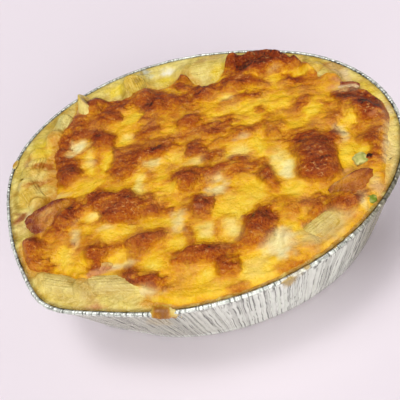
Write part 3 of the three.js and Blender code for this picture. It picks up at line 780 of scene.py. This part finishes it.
    "paleSauceAndHighlights": (  # pale sauce, and painted highlights on the glossy cheese
        (-54, 55.5, 7, 5, 0, 0.5), (-55.5, 28, 10, 8.5, 12, 1.0), (-49, 16, 5, 8, 20, 0.3),
        (-28, 26.4, 6, 4, 0, 0.35), (53, 50, 5, 2.5, 0, 0.25), (26.5, 37, 5, 4, 0, 0.3),
        (85.5, 23, 10, 4, -20, 0.75), (30, 7.6, 6, 3, 0, 0.5), (-75, 3.5, 8, 6, -30, 0.4),
        (-66, -2.5, 10, 3, 0, 0.35), (-84, -18.5, 8, 7, 0, 0.5), (-47.5, -20, 6, 4, 0, 0.35),
        (-56, -29, 3.5, 9, 0, 0.5), (-40, -29, 5, 3, 0, 0.4), (-23, -6.5, 5, 11, 0, 0.35),
        (-15.5, 4, 8, 5, 0, 0.65), (5, -1, 6, 3, 0, 0.4), (26, -1, 8, 6, 0, 0.3), (15, -14, 7, 5, 0, 0.75),
        (13.5, -21, 9, 4, 10, 0.9), (-5.5, -33.5, 6, 9, 0, 0.7), (-36, -51.5, 9, 4, 0, 0.65),
        (6, -43.5, 5, 7, 20, 0.4), (18.5, -44.5, 6, 9, 0, 0.4), (-29, -69, 24, 9, 10, 0.75),
        (75.5, -5, 6, 8, 40, 0.75), (46, -16, 7, 16, 15, 0.5), (47, -20, 4, 9, 0, 0.8),
        (36, -57, 15, 15, 0, 0.95), (33, -60, 10, 8, 20, 0.7), (37, -63, 6, 5, 0, 1.0),
        (96, -17, 6, 44, -12, 0.8), (75.5, -45, 3, 10, 10, 0.6), (25, -67, 8, 10, 0, 0.25),
        (83, -38, 8, 10, 0, 0.4), (57, -54.5, 28, 14, 27, 0.65),
    ),
    "murky": (  # thin grey-green sauce over pasta
        (-65.6, 49.6, 9, 14, -20, 0.8), (76, 45, 5, 12, 0, 0.7), (-16, 5.5, 5, 3, 0, 0.4),
        (-6, -34, 5, 8, 0, 0.3), (78, 44, 6, 8, 0, 0.5), (75, -6, 5, 7, 40, 0.3), (32, -52, 3, 9, 30, 0.5),
        (56, -56, 22, 6, 30, 0.3), (14, -22, 5, 3, 0, 0.3), (-38, -56, 12, 4, -8, 0.4),
        (57, -54.5, 28, 13, 27, 0.5),
    ),
    "rosy": (  # pink from ham under the sauce, and painted pink highlights on dark crusts
        (84.5, 35.5, 4, 13, 10, 0.8), (82, 30, 9, 3, -20, 0.6), (-44.5, -52.5, 12, 4, -4, 0.8),
        (83, -39, 7, 8, -30, 0.35), (73, -27.5, 6, 3, 20, 0.6), (78.5, 27, 3, 2, 0, 0.6),
        (93, 3.5, 5, 4, 0, 0.35), (-75, -17, 5, 10, 10, 0.5), (5.5, -27.5, 3, 2, 0, 0.4),
    ),
    "specks": (  # charred: x, y, radius
        (84.0, -22, 1.6), (92, -18, 0.4), (93.5, -26, 0.5), (95, -33, 0.4), (79, -19, 0.4), (39, 67, 0.5),
        (-8.5, -32, 0.5),
    ),
}

# edge is the colour of the painted shade along the sauce where it meets the foil
sauceColours = {
    "straw": (230, 200, 92), "cream": (246, 226, 132), "milk": (255, 250, 232), "lemon": (248, 216, 50),
    "lime": (216, 192, 52), "olive": (198, 172, 64), "greyOlive": (196, 182, 106), "moss": (166, 134, 36),
    "tan": (220, 176, 98), "peach": (240, 212, 160), "sand": (230, 202, 108), "amber": (218, 146, 28),
    "gold": (226, 184, 54), "brown": (182, 100, 20), "rust": (142, 58, 26), "rind": (118, 34, 16),
    "pink": (206, 120, 80), "ham": (186, 116, 42), "char": (50, 22, 8), "edge": (116, 90, 34),
    "foil": (208, 204, 180), "penne": (208, 180, 108),
}

saucePaint = {
    "brightness": 0.955,
    "coat": (  # where no cheese lies: x, y, length, width, turn, colour, how much
        # left
        (-79, 12, 16, 40, 0, "amber", 0.3), (-66, 50, 9, 18, -25, "greyOlive", 0.85),
        (-70.5, 52, 3, 14, -25, "moss", 0.6), (-62.5, 53, 3, 12, -20, "cream", 0.7),
        (-76, 44, 8, 14, -30, "olive", 0.6), (-80, 36, 8, 10, -20, "lime", 0.8),
        (-75, 34, 10, 15, -15, "lemon", 0.95), (-74.5, 34.5, 6, 3, 20, "amber", 0.7),
        (-77.5, 26, 6, 14, -10, "lemon", 0.5), (-84, 26, 7, 9, -20, "tan", 0.8),
        (-82.5, 31, 3, 6, -20, "amber", 0.5), (-86, 18, 10, 12, 10, "olive", 0.75),
        (-84, 14, 6, 4, 0, "cream", 0.5), (-87, 11, 7, 5, 20, "cream", 0.7),
        (-75, 20, 12, 8, -10, "amber", 0.7), (-75.5, 20.5, 14, 4, -20, "brown", 1.0),
        (-78, 15, 8, 5, -10, "cream", 0.7), (-71, 8, 6, 8, 0, "amber", 0.8),
        (-78, 10.5, 16, 4.5, 12, "brown", 0.95), (-70, 38, 5, 10, -10, "amber", 0.8),
        (-75, 14, 8, 6, 0, "sand", 0.7), (-83, 2, 10, 16, 0, "gold", 0.8),
        (-75, 4, 9, 7, -20, "cream", 0.8), (-88.5, 0, 3, 14, 0, "moss", 0.75),
        (-87, -10, 6, 6, 0, "rust", 0.95), (-82, -12, 4, 8, -10, "peach", 0.9),
        (-85, -17, 7, 8, 0, "tan", 0.6), (-87, -22.5, 5, 7, 0, "moss", 0.85),
        # front left
        (-67, -53, 30, 16, -20, "sand", 0.6), (-64, -51.5, 20, 4, -20, "cream", 0.6),
        (-72, -58.5, 16, 4, -30, "gold", 0.7), (-57, -57, 8, 9, -60, "cream", 0.8),
        (-53.5, -58.5, 13, 2.6, -55, "moss", 0.9), (-36, -62, 34, 16, -12, "sand", 0.6),
        (-36, -60.5, 26, 4, -12, "cream", 0.7), (-48, -66.5, 8, 5, -20, "tan", 0.8),
        (-46, -70, 6, 2.5, -20, "pink", 0.6), (-24, -69, 20, 7, -12, "cream", 0.9),
        (-57, -64, 16, 5, -20, "sand", 0.7), (-45, -52.5, 12, 3.5, -4, "pink", 0.7),
        (-57, -57, 32, 15, -20, "penne", 0.35), (-37, -62, 38, 14, -12, "penne", 0.65),
        (-31, -69, 22, 6, -8, "cream", 0.5),
        # right
        (97, -18, 12, 56, -12, "cream", 0.8), (93.5, -14, 4, 44, -12, "amber", 0.45),
        (94, -24, 5.5, 32, -16, "peach", 0.4), (96, -34, 5, 10, -16, "tan", 0.5),
        (83, -36, 7, 6, 0, "tan", 0.6), (83, -42, 8, 6, -30, "pink", 0.6), (85, -33, 5, 8, 0, "sand", 0.9),
        (76.5, -45, 5, 12, 15, "sand", 0.9), (79, -52, 5, 5, 0, "olive", 0.8),
        (57, -56, 28, 14, 25, "penne", 0.9), (56, -53, 20, 5, 28, "cream", 0.3),
        (52, -63, 8, 6, 25, "amber", 0.7), (46, -66, 6, 4, 20, "amber", 0.6),
        # the white spot here is a painted highlight on the glossy sauce
        (37, -57, 14, 20, 0, "cream", 0.9), (37.5, -63, 6, 5, 0, "milk", 1.0),
        (25, -65, 10, 10, 0, "lemon", 0.9), (67, -52, 8, 4, 25, "gold", 0.7),
        # back right
        (72, 53, 6, 8, 0, "moss", 0.8), (75, 47, 8, 10, -30, "gold", 0.9),
        (81, 43, 5, 10, 30, "brown", 0.6), (83.5, 36, 4, 12, 10, "tan", 0.9),
        (80.5, 33, 3.5, 10, 5, "moss", 0.8), (87, 34, 8, 18, 25, "peach", 0.85),
        (92, 27, 5, 8, 20, "sand", 0.8), (86, 41, 4, 7, -45, "tan", 0.9), (96, 18, 6, 18, 25, "lemon", 0.7),
        (99, 10, 4, 10, 0, "cream", 0.8), (101.5, 4, 4, 8, 0, "peach", 0.8),
        (85, 27, 10, 3, -25, "pink", 0.7), (86, 23.5, 13, 3, -15, "peach", 0.9),
        # back
        (-45, 68, 12, 4, 15, "straw", 0.9), (-34, 66, 12, 10, 0, "lemon", 0.95),
        (-36, 73, 8, 5, 20, "cream", 0.6), (-24, 59, 12, 20, 0, "gold", 0.9),
        (-29.5, 60, 3, 14, 10, "moss", 0.6), (-24, 63, 8, 3, 0, "olive", 0.8),
        (-23, 66, 13, 13, 0, "gold", 0.9), (-21.5, 67.5, 2.5, 2.5, 0, "moss", 0.9),
        (-33.5, 67, 9, 10, 0, "lemon", 0.9), (-12, 70, 10, 8, 0, "cream", 0.7),
        (-17.5, 75, 6, 12, 35, "foil", 0.95), (-19, 74, 1, 9, 20, "moss", 0.6),
        # the white spot here is a painted highlight on the glossy sauce
        (-6, 64, 10, 6, 0, "lemon", 0.9), (-3.5, 71, 8, 8, 0, "milk", 1.0), (2, 73, 12, 6, 0, "cream", 0.8),
        (20, 70, 30, 14, -5, "sand", 0.8), (18, 67, 22, 12, -5, "olive", 0.45),
        (8.5, 71, 2.5, 6, -20, "olive", 0.8), (24, 60, 8, 12, 0, "lemon", 0.8),
        (20, 72, 14, 5, 0, "tan", 0.7), (14, 64, 8, 6, 0, "cream", 0.7), (35, 70, 10, 4, -25, "cream", 0.6),
        (-53, 66, 9, 12, 0, "sand", 0.9), (-53, 62, 9, 5, 0, "gold", 0.8), (-49.5, 60, 5, 8, 0, "tan", 0.7),
    ),
}


def patchShares(patches, x, y, soft, grow):  # how much each patch covers the points near it
    px, py = x + 1.7 * lumps(x, y, 9, 31), y + 1.7 * lumps(x, y, 9, 33)
    ragged = 1.9 * lumps(0.6 * x, y, 3.8, 32) + 1.0 * lumps(0.7 * x, y, 1.7, 34)
    for cx, cy, length, width, turn, *rest in patches:
        near = np.hypot(px - cx, py - cy) < 0.7 * max(length, width) + 2 * soft + 1
        dx, dy = px[near] - cx, py[near] - cy
        half = min(length, width) / 2
        fine = min(1, half / 3)
        over = (ovalReach(dx, dy, length, width, turn) - 1) * half - grow + ragged[near] * fine
        share = 1 - smooth(-soft * fine - 0.45 * half, soft * (0.4 + 0.6 * fine), over)
        yield near, share, rest, dy / width


def paint(patches, x, y, start, soft=2.0, grow=0.0, lean=0.0):  # lean makes the far side of a patch stronger, a painted shade on the far side of browned spots
    value = start.copy()
    for near, share, (amount,), rear in patchShares(patches, x, y, soft, grow):
        value[near] += (amount + lean * np.clip(rear, -0.7, 0.7) - value[near]) * share
    return value


def speckle(values, x, y, speck):
    for cx, cy, size in cheesePaint["specks"]:
        values[np.hypot(x - cx, y - cy) < size] = speck


def colourOver(patches, x, y, colour):  # screen colours painted over one another, then made linear
    for near, share, (name, amount), _ in patchShares(patches, x, y, 1.6, 0.3):
        colour[near] += (np.array(sauceColours[name]) - colour[near]) * (amount * share)[:, None]
    speckle(colour, x, y, sauceColours["char"])
    return np.column_stack((toLinear(saucePaint["brightness"] * colour), np.ones(len(colour))))


def bedTop(x, y):
    share = shareOf(x, y)
    level = bed["edge"] + bed["rise"] * (1 - share**2) + bed["lap"] * smooth(0.8, 0.97, share)
    for start, end, _ in tube["places"]:  # sauce rises where it meets a tube
        along, off = besideLine(x, y, start, end, -0.1)
        axis = np.minimum(start[2] + along * (end[2] - start[2]), bed["highestTube"])
        climb = np.maximum(axis + bed["overTube"] - level, 0)
        level = level + climb * (1 - smooth(*bed["tubeReach"], off)) * (1 - smooth(0.9, 0.97, share))
    for cx, cy, size, height in bed["mounds"]:
        heap = 1 - smooth(0.3, 1, np.hypot(x - cx, y - cy) / size)
        level = level + height * heap * (1 - smooth(0.9, 0.985, share))
    return level


def tubeLines(x, y):  # distance across the nearest tube, and how near it is
    ribs, nearest = np.zeros_like(x), np.full_like(x, 99.0)
    for number, (start, end, _) in enumerate(tube["places"]):
        _, off = besideLine(x, y, start, end, -0.15, 1.1)
        span = np.subtract(end, start)[:2]
        across = ((x - start[0]) * span[1] - (y - start[1]) * span[0]) / math.hypot(*span)
        ribs = np.where(off < nearest, across + tube["ribShift"] * number, ribs)
        nearest = np.minimum(off, nearest)
    return ribs, 1 - smooth(5, 8.5, nearest)


def cheeseEdge(angle):
    at, share = np.array(topping["border"], float).T
    turn = np.degrees(angle) % 360
    fine = np.arange(-30, 390, 0.5)
    line = np.interp(fine, np.concatenate((at - 360, at, at + 360)), np.tile(share, 3))
    kernel = bell(np.arange(-6, 7), 2.0)
    line = np.convolve(line, kernel / kernel.sum(), mode="same")
    share = np.interp(turn, fine, line)
    fray = 0.012 * lumps(turn, 0, 5, 41) + 0.008 * lumps(turn, 0, 2.2, 42)
    fray = fray * (1 + 1.3 * bell(turn - 172, 20))  # most ragged at the left
    share = np.minimum(share + fray * smooth(0.99, 0.95, share), 1.0) * ovalFactor(angle)
    return (
        (tray["halfLength"] - topping["inset"]) * share * np.cos(angle),
        (tray["halfWidth"] - topping["inset"]) * share * np.sin(angle),
    )


def cheeseTop(x, y, out):
    rise = np.zeros_like(x)
    wx, wy = x + 1.0 * lumps(x, y, 8, 51), y + 1.0 * lumps(x, y, 8, 52)
    for cx, cy, length, width, turn, height in topping["blisters"]:
        reach = ovalReach(wx - cx, wy - cy, length, width, turn)
        rise = np.maximum(rise, height * (1 - smooth(0.35, 1.2, reach)))
    rumple = 0.35 * np.sin(x / 5.3 + 1.1 * np.sin(y / 7.1)) * np.cos(y / 4.7 + x / 19)
    lumpy = 0.7 * deepLumps(x, y, 9, 53, 2) + 0.3 * lumps(x, y, 4, 55)
    thick = topping["edge"] + (topping["middle"] - topping["edge"]) * (1 - smooth(0.7, 1, out))
    relief = (1.1 * rise + rumple + lumpy) * (1 - smooth(0.93, 1, out))
    start, end, _ = tube["places"][topping["filmTube"] - 1]
    _, off = besideLine(x, y + topping["filmShift"], start, end)
    film = 0.1 + 0.9 * smooth(*topping["filmReach"], off)
    return bedTop(x, y) + topping["gap"] + (thick + relief) * film


def coat(x, y, z, baked=1.0):  # colours of the sauce where it is seen
    sx, sy = seenPlace(x, y, z)
    mottle = smooth(-0.6, 0.8, deepLumps(sx, sy, 9, 65, 3))[:, None]
    colour = np.array(sauceColours["straw"]) * (1 - mottle) + np.array(sauceColours["cream"]) * mottle
    beyond = np.hypot(x, y) / np.hypot(*cheeseEdge(ovalAngle(x, y)))
    left = smooth(-40, -60, x) * smooth(-25, -10, y)
    ragged = beyond + (0.03 + 0.05 * left) * lumps(sx, sy, 5, 67)
    halo = 1 - smooth(1.0, 1.1 + 0.12 * left, ragged)  # baked sauce next to the cheese
    halo = halo * np.where((x < -45) | (y < 0), 0.85, 0.4) * baked
    colour = colour + (np.array(sauceColours["amber"]) - colour) * halo[:, None]
    return colourOver(saucePaint["coat"], sx, sy, colour)


def foodPaint(x, y, z):
    sx, sy = seenPlace(x, y, z)
    cloud = deepLumps(sx, sy, 11, 61, 3)
    streak = deepLumps(0.7 * sx, sy, 7, 64, 3)
    tone = paint(cheesePaint["washes"], sx, sy, np.full(len(sx), 0.4), soft=5)
    tone = tone + 0.13 * (cloud * 0.6 + streak * 0.8)
    # browned spots carry painted shade on their far side
    tone = paint(cheesePaint["browned"], sx, sy, tone, soft=2.6, grow=1.2, lean=0.1)
    # darkest tones a little lighter; painted light: a little lighter towards the right, against the shade
    # that the lamps leave there; browner at the back left
    tone = tone - 0.03 * smooth(0.6, 0.9, tone) - 0.04 * smooth(-20, 60, sx)
    tone = tone + 0.05 * smooth(-20, -60, sx) * smooth(0, 30, sy)
    tone = np.minimum(tone, 0.98)
    speckle(tone, sx, sy, 1.0)
    cream = paint(cheesePaint["paleSauceAndHighlights"], sx, sy, 0.06 * cloud, soft=2.4, grow=0.3)
    olive = paint(cheesePaint["murky"], sx, sy, 0.14 * streak, soft=2.4)
    pink = paint(cheesePaint["rosy"], sx, sy, 0.05 * cloud, soft=1.5)
    clear = 1 - 0.8 * smooth(0.5, 0.8, tone)  # no pale sauce on dark crusts
    shares = {"tone": tone, "cream": cream * clear * 0.86, "olive": olive * clear, "pink": pink}
    return {name: np.clip(share, 0, 1) for name, share in shares.items()}


def crackle(x, y, tone):  # what browning does to the surface
    crisp = smooth(0.5, 0.72, tone)
    along, across = turned(x, y, topping["pulledFolds"])
    folds = 0.28 * lumps(along / 2.4, across, 3.2, 73) + 0.06 * lumps(along / 2, across, 1.6, 74)
    crags = 1.2 + 0.34 * lumps(x, y, 2.6, 71) + 0.14 * lumps(x, y, 1.3, 72)
    return crisp * crags + 0.3 * (tone - 0.5) + folds


def makeCheese():
    bm, share, angle, ring = discNet(topping["cells"], 3)
    edgeX, edgeY = cheeseEdge(angle)
    out = share * np.array([1, 0.985, 0.9, 0])[ring]
    x, y = edgeX * out, edgeY * out
    z = cheeseTop(x, y, out)
    for _ in range(2):
        painted = foodPaint(x, y, z)
        z = cheeseTop(x, y, out) + crackle(x, y, painted["tone"]) * (1 - smooth(0.95, 1, out))
    floor = bedTop(x, y)
    tuck = 1 - 0.92 * smooth(0.955, 1.0, out) ** 1.5  # its edge melts into the sauce
    z = floor + (z - floor) * tuck - 0.8 * smooth(0.975, 1.0, out)
    z = np.where(ring > 0, floor - np.array([0, 1.1, 1.6, 2.5])[ring], z)
    points = np.column_stack((x, y, z))
    normals = normalsOf(bm, points)
    normals *= np.sign(normals[:, 2:])
    rear = np.clip(normals @ (0.25, 0.97, 0), -0.4, 0.4)  # painted shade: crests darker on the side away from the front
    crisp = smooth(0.45, 0.7, painted["tone"])
    leaned = np.clip(painted["tone"] + 0.22 * rear * crisp, 0, 0.94)
    painted["tone"] = np.where(painted["tone"] > 0.99, 1.0, leaned)
    # painted highlight mask: slopes that face halfway between the camera and the lamps overhead
    painted["sheen"] = smooth(0.925, 0.985, normals @ (0.03, -0.35, 0.936))
    finishPiece("cheeseTopping", bm, points, cheese, painted, ("cheese_topping",))


def makeBed():
    bm, share, angle, ring = discNet(bed["cells"], 4)
    inset = np.array([bed["inset"], 4.0, 14.8, 18.5, 18.5])[ring]
    dented = 1 + np.array([0, 0, 1, 1, 0])[ring] * around(tray["footDents"], angle)
    reach = share * ovalFactor(angle) * dented * (ring < 4)
    x = (tray["halfLength"] - inset) * np.cos(angle) * reach
    y = (tray["halfWidth"] - inset) * np.sin(angle) * reach
    top = bedTop(x, y)
    rough = 0.45 * deepLumps(x, y, 7, 81, 3) + 0.15 * lumps(x, y, 2, 84)
    top = top + rough * smooth(0.6, 0.75, share) * (1 - smooth(0.985, 1, share))
    covered = np.hypot(x, y) / np.hypot(*cheeseEdge(angle))
    top = top - 1.2 * (1 - smooth(0.95, 0.985, covered))
    z = np.where(ring == 0, top, np.array([0, 47.5, 4.9, 1.2, 1.2])[ring])
    ribs, near = tubeLines(x, y)
    colour = coat(x, y, z)
    # painted shade: a dark line along the sauce's edge where it meets the foil, darker at the front
    line = smooth(0.98, 0.99, share) * np.where(y < 0, 0.7, 0.3) * (ring == 0)
    dark = np.array(shade(*sauceColours["edge"]))
    colour = colour + (dark - colour) * line[:, None]
    painted = {"colour": colour, "ribs": ribs, "ribbed": near * (ring == 0) * 0.35}
    finishPiece("pastaBed", bm, np.column_stack((x, y, z)), sauce, painted, ("pasta_bed",))


makeBed()
print("bed made")
makeCheese()
print("cheese made")


def tubeProfile(bore):  # each ring of a tube's wall: radius, place along it, share of the ridges
    radius, stations = tube["radius"], 14
    lipOut, lipIn = radius - 0.45, radius - tube["wall"] + 0.35
    rings = [(radius - 0.2, -1.012, 0.8)]
    rings += [(radius, -1 + 2 * k / stations, 1.0) for k in range(stations + 1)]
    rings += [(radius - 0.2, 1.012, 0.8), (lipOut, 1.02, 0.3), (lipIn, 1.015, 0.0)]
    rings += [(bore, 1 - k / 3, 0.0) for k in range(7)]
    return np.array(rings + [(lipIn, -1.015, 0.0), (lipOut, -1.02, 0.3)])


def makeTube(number, start, end, turn):
    length = (Vector(end) - Vector(start)).length
    axis = (Vector(end) - Vector(start)).normalized()
    flank = Vector((0, 0, 1)).cross(axis).normalized()
    crown = Matrix.Rotation(math.radians(turn), 3, axis) @ axis.cross(flank)
    side = axis.cross(crown)
    inside = tube["sauceInside"] if number == tube["saucedTube"] else 0
    profile = tubeProfile(tube["radius"] - tube["wall"] - inside)
    bm, ring, angle = ringStack(tube["columns"], len(profile), loop=True)
    radius, along, ridged = profile[ring].T
    wave = np.cos(tube["ridges"] * angle + 0.15 * np.sin(along * 5 + number))
    radius = (radius + ridged * tube["ridge"] * wave) * tube["thinner"].get(number, 1.0)
    halfAlong = along * length / 2
    dents = 0.22 * lumps(angle * 5, halfAlong, 5, number) + 0.07 * lumps(angle * 5, halfAlong, 2, number)
    radius = radius * (1 + 0.035 * np.cos(2 * angle + number) * (0.6 + 0.4 * along)) + dents
    px, py = radius * np.cos(angle), radius * np.sin(angle)
    pz = halfAlong + px * math.tan(math.radians(tube["slant"]))
    px = px + 0.012 * length * (1 - along**2) * math.cos(number)  # a slight bow
    middle = np.add(start, end) / 2
    points = middle + np.outer(px, crown) + np.outer(py, side) + np.outer(pz, axis)
    painted = {
        "colour": coat(*points.T, baked=0.0),
        "ribs": tube["radius"] * np.abs(angle) + tube["ribShift"] * number,
        "ribbed": ridged * tube["faintRibs"].get(number, 1.0),
    }
    finishPiece(f"penne{number}", bm, points, sauce, painted, (f"penne_{number}",))


for count, place in enumerate(tube["places"], 1):
    makeTube(count, *place)
print("tubes made")

hamLook = {
    "thickness": 1.8,
    "cells": 64,
    "slices": (  # at, length, width, turn, tilt, curl, how deep it sinks in, colours inside and of the rind
        ((-68.5, -15.5, 56), 24, 16, 30, 8, 2.5, 1.1, "ham", "rind"),
        ((-44.5, -50, 56.4), 13, 5, -6, 4, 0.4, 2.3, "tan", "sand"),
        ((85.5, 25.5, 55.8), 13, 5, -25, 12, 1, 1.3, "peach", "rind"),
        ((73.5, -35.3, 57.3), 22, 9.5, 20, 5, 1.5, 2.1, "brown", "rust"),
    ),
    "archedSlice": 1,
    "arch": (118, 24, 0.24),  # its outline swells here: degrees, spread, by how much
    "coat": (  # colours over the ham: x, y, length, width, turn, colour, how much
        (-78.5, -14, 7, 19, 4, "rind", 0.9), (-74, -6.5, 15, 5.5, 25, "rind", 0.9),
        (-66, -4.5, 14, 3, 8, "rind", 0.85), (-72.5, -14, 9, 4, 60, "brown", 0.7),
        (-69, -18, 10, 3, 50, "amber", 0.8), (-66, -11, 10, 6, 40, "brown", 0.8),
        (-75.5, -22, 4, 6, 0, "rust", 0.7), (-66, -22, 10, 6, 30, "amber", 0.8),
        (-62, -13, 6, 8, 0, "brown", 0.7), (-72.3, -13.3, 5, 4, 50, "tan", 0.6),
        (-68.7, -10.6, 6, 3.5, 40, "tan", 0.7), (-61.5, -8.5, 8, 5, 20, "amber", 0.9),
        (85.5, 27.2, 11, 2.6, -25, "rust", 0.9), (80, 29, 6, 2, -10, "rind", 0.8),
        (-45, -51, 9, 2.5, -6, "pink", 0.6), (80, -30, 9, 6, 20, "rust", 0.8),
        # the peach band along the fourth slice's top edge is a painted highlight
        (68, -31.3, 14, 3.6, 24, "peach", 0.85), (66, -36, 10, 5, 20, "amber", 0.6),
        (73, -37, 14, 4, 20, "brown", 0.8), (72, -33, 12, 3, 20, "amber", 0.6),
    ),
}


def makeHam(number, at, length, width, turn, tilt, curl, sink, insideName, rindName):
    bm, share, angle, ring = discNet(hamLook["cells"], 3)
    out = share * np.array([1, 0.97, 0.6, 0])[ring]
    degrees = np.degrees(angle)
    ragged = 1 + 0.05 * lumps(degrees, number * 7, 22, 101) + 0.03 * lumps(degrees, number, 8, 102)
    if number == hamLook["archedSlice"]:
        swellAt, spread, by = hamLook["arch"]
        ragged = ragged + by * bell(degrees - swellAt, spread)
    along = length / 2 * np.cos(angle) * ragged * out
    across = (width / 2 * np.sin(angle) * ragged + 0.1 * width * np.cos(2 * angle)) * out
    lift = curl * (across / width + 0.5) ** 2 + 0.5 * np.sin(along / 2.6)
    lift = lift + 0.25 * lumps(along, across, 3, 103 + number)
    half = hamLook["thickness"] / 2 * np.sqrt(1 - smooth(0.8, 1.0, out) * 0.75)
    py, pz = turned(across, lift + np.where(ring > 0, -half, half), -tilt)
    px, py = turned(along, py, -turn)
    points = np.column_stack((px, py, pz - sink)) + at
    inside, rind = (np.array(sauceColours[name], float) for name in (insideName, rindName))
    upper = smooth(-0.35, 0.15, np.sin(angle))  # the edge that faces up and back is the crisp one
    burnt = smooth(0.68, 0.86, out + 0.03 * lumps(along, across, 2.5, 111)) * upper
    colour = inside + (rind - inside) * burnt[:, None]
    painted = {"colour": colourOver(hamLook["coat"], *seenPlace(*points.T), colour)}
    finishPiece(f"hamSlice{number}", bm, points, ham, painted, (f"ham_slice_{number}",))


for count, piece in enumerate(hamLook["slices"], 1):
    makeHam(count, *piece)
print("ham made")

pepperBits = {
    "places": (  # at, size, turn, how pale
        ((79, -45, 53.5), (6, 5, 4), 20, 0.1),
        ((80.3, -23, 55.6), (7, 6, 3.0), 15, 0.6),
    ),
    "blocky": 0.7,  # 1 is round
    "uneven": 0.12,
}


def makePepper(number, at, size, turn, pale):
    bm = bmesh.new()
    bmesh.ops.create_icosphere(bm, subdivisions=4, radius=1)
    points = pointsOf(bm)
    twice = points[:, :2].T * 2
    body = np.sign(points) * np.abs(points) ** pepperBits["blocky"]
    uneven = [lumps(twice[0] + k, twice[1] - k, 0.8, 120 + k) for k in range(3)]
    body = (body + pepperBits["uneven"] * np.column_stack(uneven)) * np.array(size) / 2
    px, py = turned(body[:, 0], body[:, 1], -turn)
    painted = {"pale": np.clip(pale + 0.5 * lumps(*twice, 1, 130), 0, 1)}
    points = np.column_stack((px, py, body[:, 2])) + at
    finishPiece(f"greenPepper{number}", bm, points, pepper, painted, (f"green_pepper_{number}",))


for count, bit in enumerate(pepperBits["places"], 1):
    makePepper(count, *bit)
print("pepper made")

spill = {  # sauce that ran over the rim
    "runs": (  # degrees round the oval, distance out along the section, length, width, thickness, browning
        ("frontRun", 260.0, 5.4, 19, 7.5, 1.2, 0.8),
        ("frontRunPale", 261.2, 7.4, 17, 7, 0.7, 0.3),
        ("backLeftRun", 158.0, 1.5, 4.5, 5, 0.9, 0.45),
    ),
    "section": (  # across the rim: distance out along the foil, inset, height
        (-3, 3.4, 53.6), (0, 1.6, 54.0), (1.5, 0.2, 53.9), (3, -1.2, 52.6),
        (4.4, -0.6, 51.2), (6, 1.4, 50.0), (20, 4.9, 36.5),
    ),
    "taper": 0.85,
    "skew": 0.25,
    "under": 0.4,  # thickness on the foil's side
}


def makeRun(name, at, distance, length, width, thick, brown):
    bm = bmesh.new()
    bmesh.ops.create_icosphere(bm, subdivisions=5, radius=1)
    bx, by, bz = pointsOf(bm).T
    turn = np.arctan2(by, bx)
    ragged = 1 + 0.16 * lumps(3 * np.cos(turn), 3 * np.sin(turn), 1.3, 141)
    ragged = ragged + 0.08 * lumps(6 * np.cos(turn), 6 * np.sin(turn), 1.3, 142)
    out = by * ragged * length / 2 + distance
    side = bx * ragged * (1 - spill["taper"] * by) * width / 2 + spill["skew"] * out
    tall = np.where(bz > 0, thick, spill["under"]) * bz * (1 + 0.3 * lumps(side, out, 2.2, 143))
    run, inset, level = np.array(spill["section"], float).T
    slope = np.interp(out + 0.2, run, level) - np.interp(out - 0.2, run, level)
    outer = np.interp(out + 0.2, run, -inset) - np.interp(out - 0.2, run, -inset)
    steep = np.hypot(slope, outer)
    outer, steep = np.where(steep > 0, (outer, steep), 1)  # upright past the section's end
    insetHere = np.interp(out, run, inset) + tall * slope / steep
    z = np.interp(out, run, level) + tall * outer / steep
    angle = math.radians(at)
    here = math.hypot(tray["halfLength"] * math.sin(angle), tray["halfWidth"] * math.cos(angle))
    angle = angle + side / here
    x = (tray["halfLength"] - insetHere) * ovalFactor(angle) * np.cos(angle)
    y = (tray["halfWidth"] - insetHere) * ovalFactor(angle) * np.sin(angle)
    tone = brown + 0.2 * lumps(out, side, 3, 142) - 0.45 * smooth(0.6, 1.0, np.hypot(bx, by))
    painted = {"tone": np.clip(tone, 0, 1)}
    finishPiece(name, bm, np.column_stack((x, y, z)), glaze, painted)


for run in spill["runs"]:
    makeRun(*run)
print("runs made")

room = {
    "floor": shade(233, 223, 229),
    "floorSize": 4,
    "air": (1.0, 0.97, 1.03, 1.0),
    "airLow": 0.17,  # brightness at the horizon, then overhead
    "airHigh": 0.34,
    "suns": (  # direction, spread in degrees, power
        ((-0.22, -0.01, 1.0), 40, 1.33),
        ((0.3, -1.0, 0.36), 60, 2.05),
        ((-0.14, 0.06, 1.0), 14, 0.47),
    ),
}


def makeRoom():
    bm = bmesh.new()
    bmesh.ops.create_grid(bm, x_segments=2, y_segments=2, size=room["floorSize"])
    mesh = bpy.data.meshes.new("floor")
    bm.to_mesh(mesh)
    bm.free()
    finish = Finish("floorPaper", Roughness=0.9, Specular_IOR_Level=0.1)
    shadier = tuple(part * 0.995 for part in room["floor"])
    finish.feed("Base Color", finish.mix(finish.noise(30, 2), room["floor"], shadier))
    mesh.materials.append(finish.material)
    floor = bpy.data.objects.new("floor", mesh)
    bpy.context.scene.collection.objects.link(floor)

    air = Finish("air", "worlds", "Background", Color=room["air"])
    height = air.add("ShaderNodeSeparateXYZ", {}, {0: air.add("ShaderNodeTexCoord", output="Generated")}, "Z")
    air.feed("Strength", air.step(0.0, 1.0, height, room["airLow"], room["airHigh"]))
    bpy.context.scene.world = air.material

    for direction, spread, power in room["suns"]:
        sun = bpy.data.lights.new("sun", "SUN")
        sun.angle = math.radians(spread)
        sun.energy = power
        lamp = bpy.data.objects.new("sun", sun)
        lamp.rotation_euler = Vector(direction).to_track_quat("Z", "Y").to_euler()
        bpy.context.scene.collection.objects.link(lamp)
    bpy.context.scene.view_settings.view_transform = "Standard"


makeRoom()
print("room made")
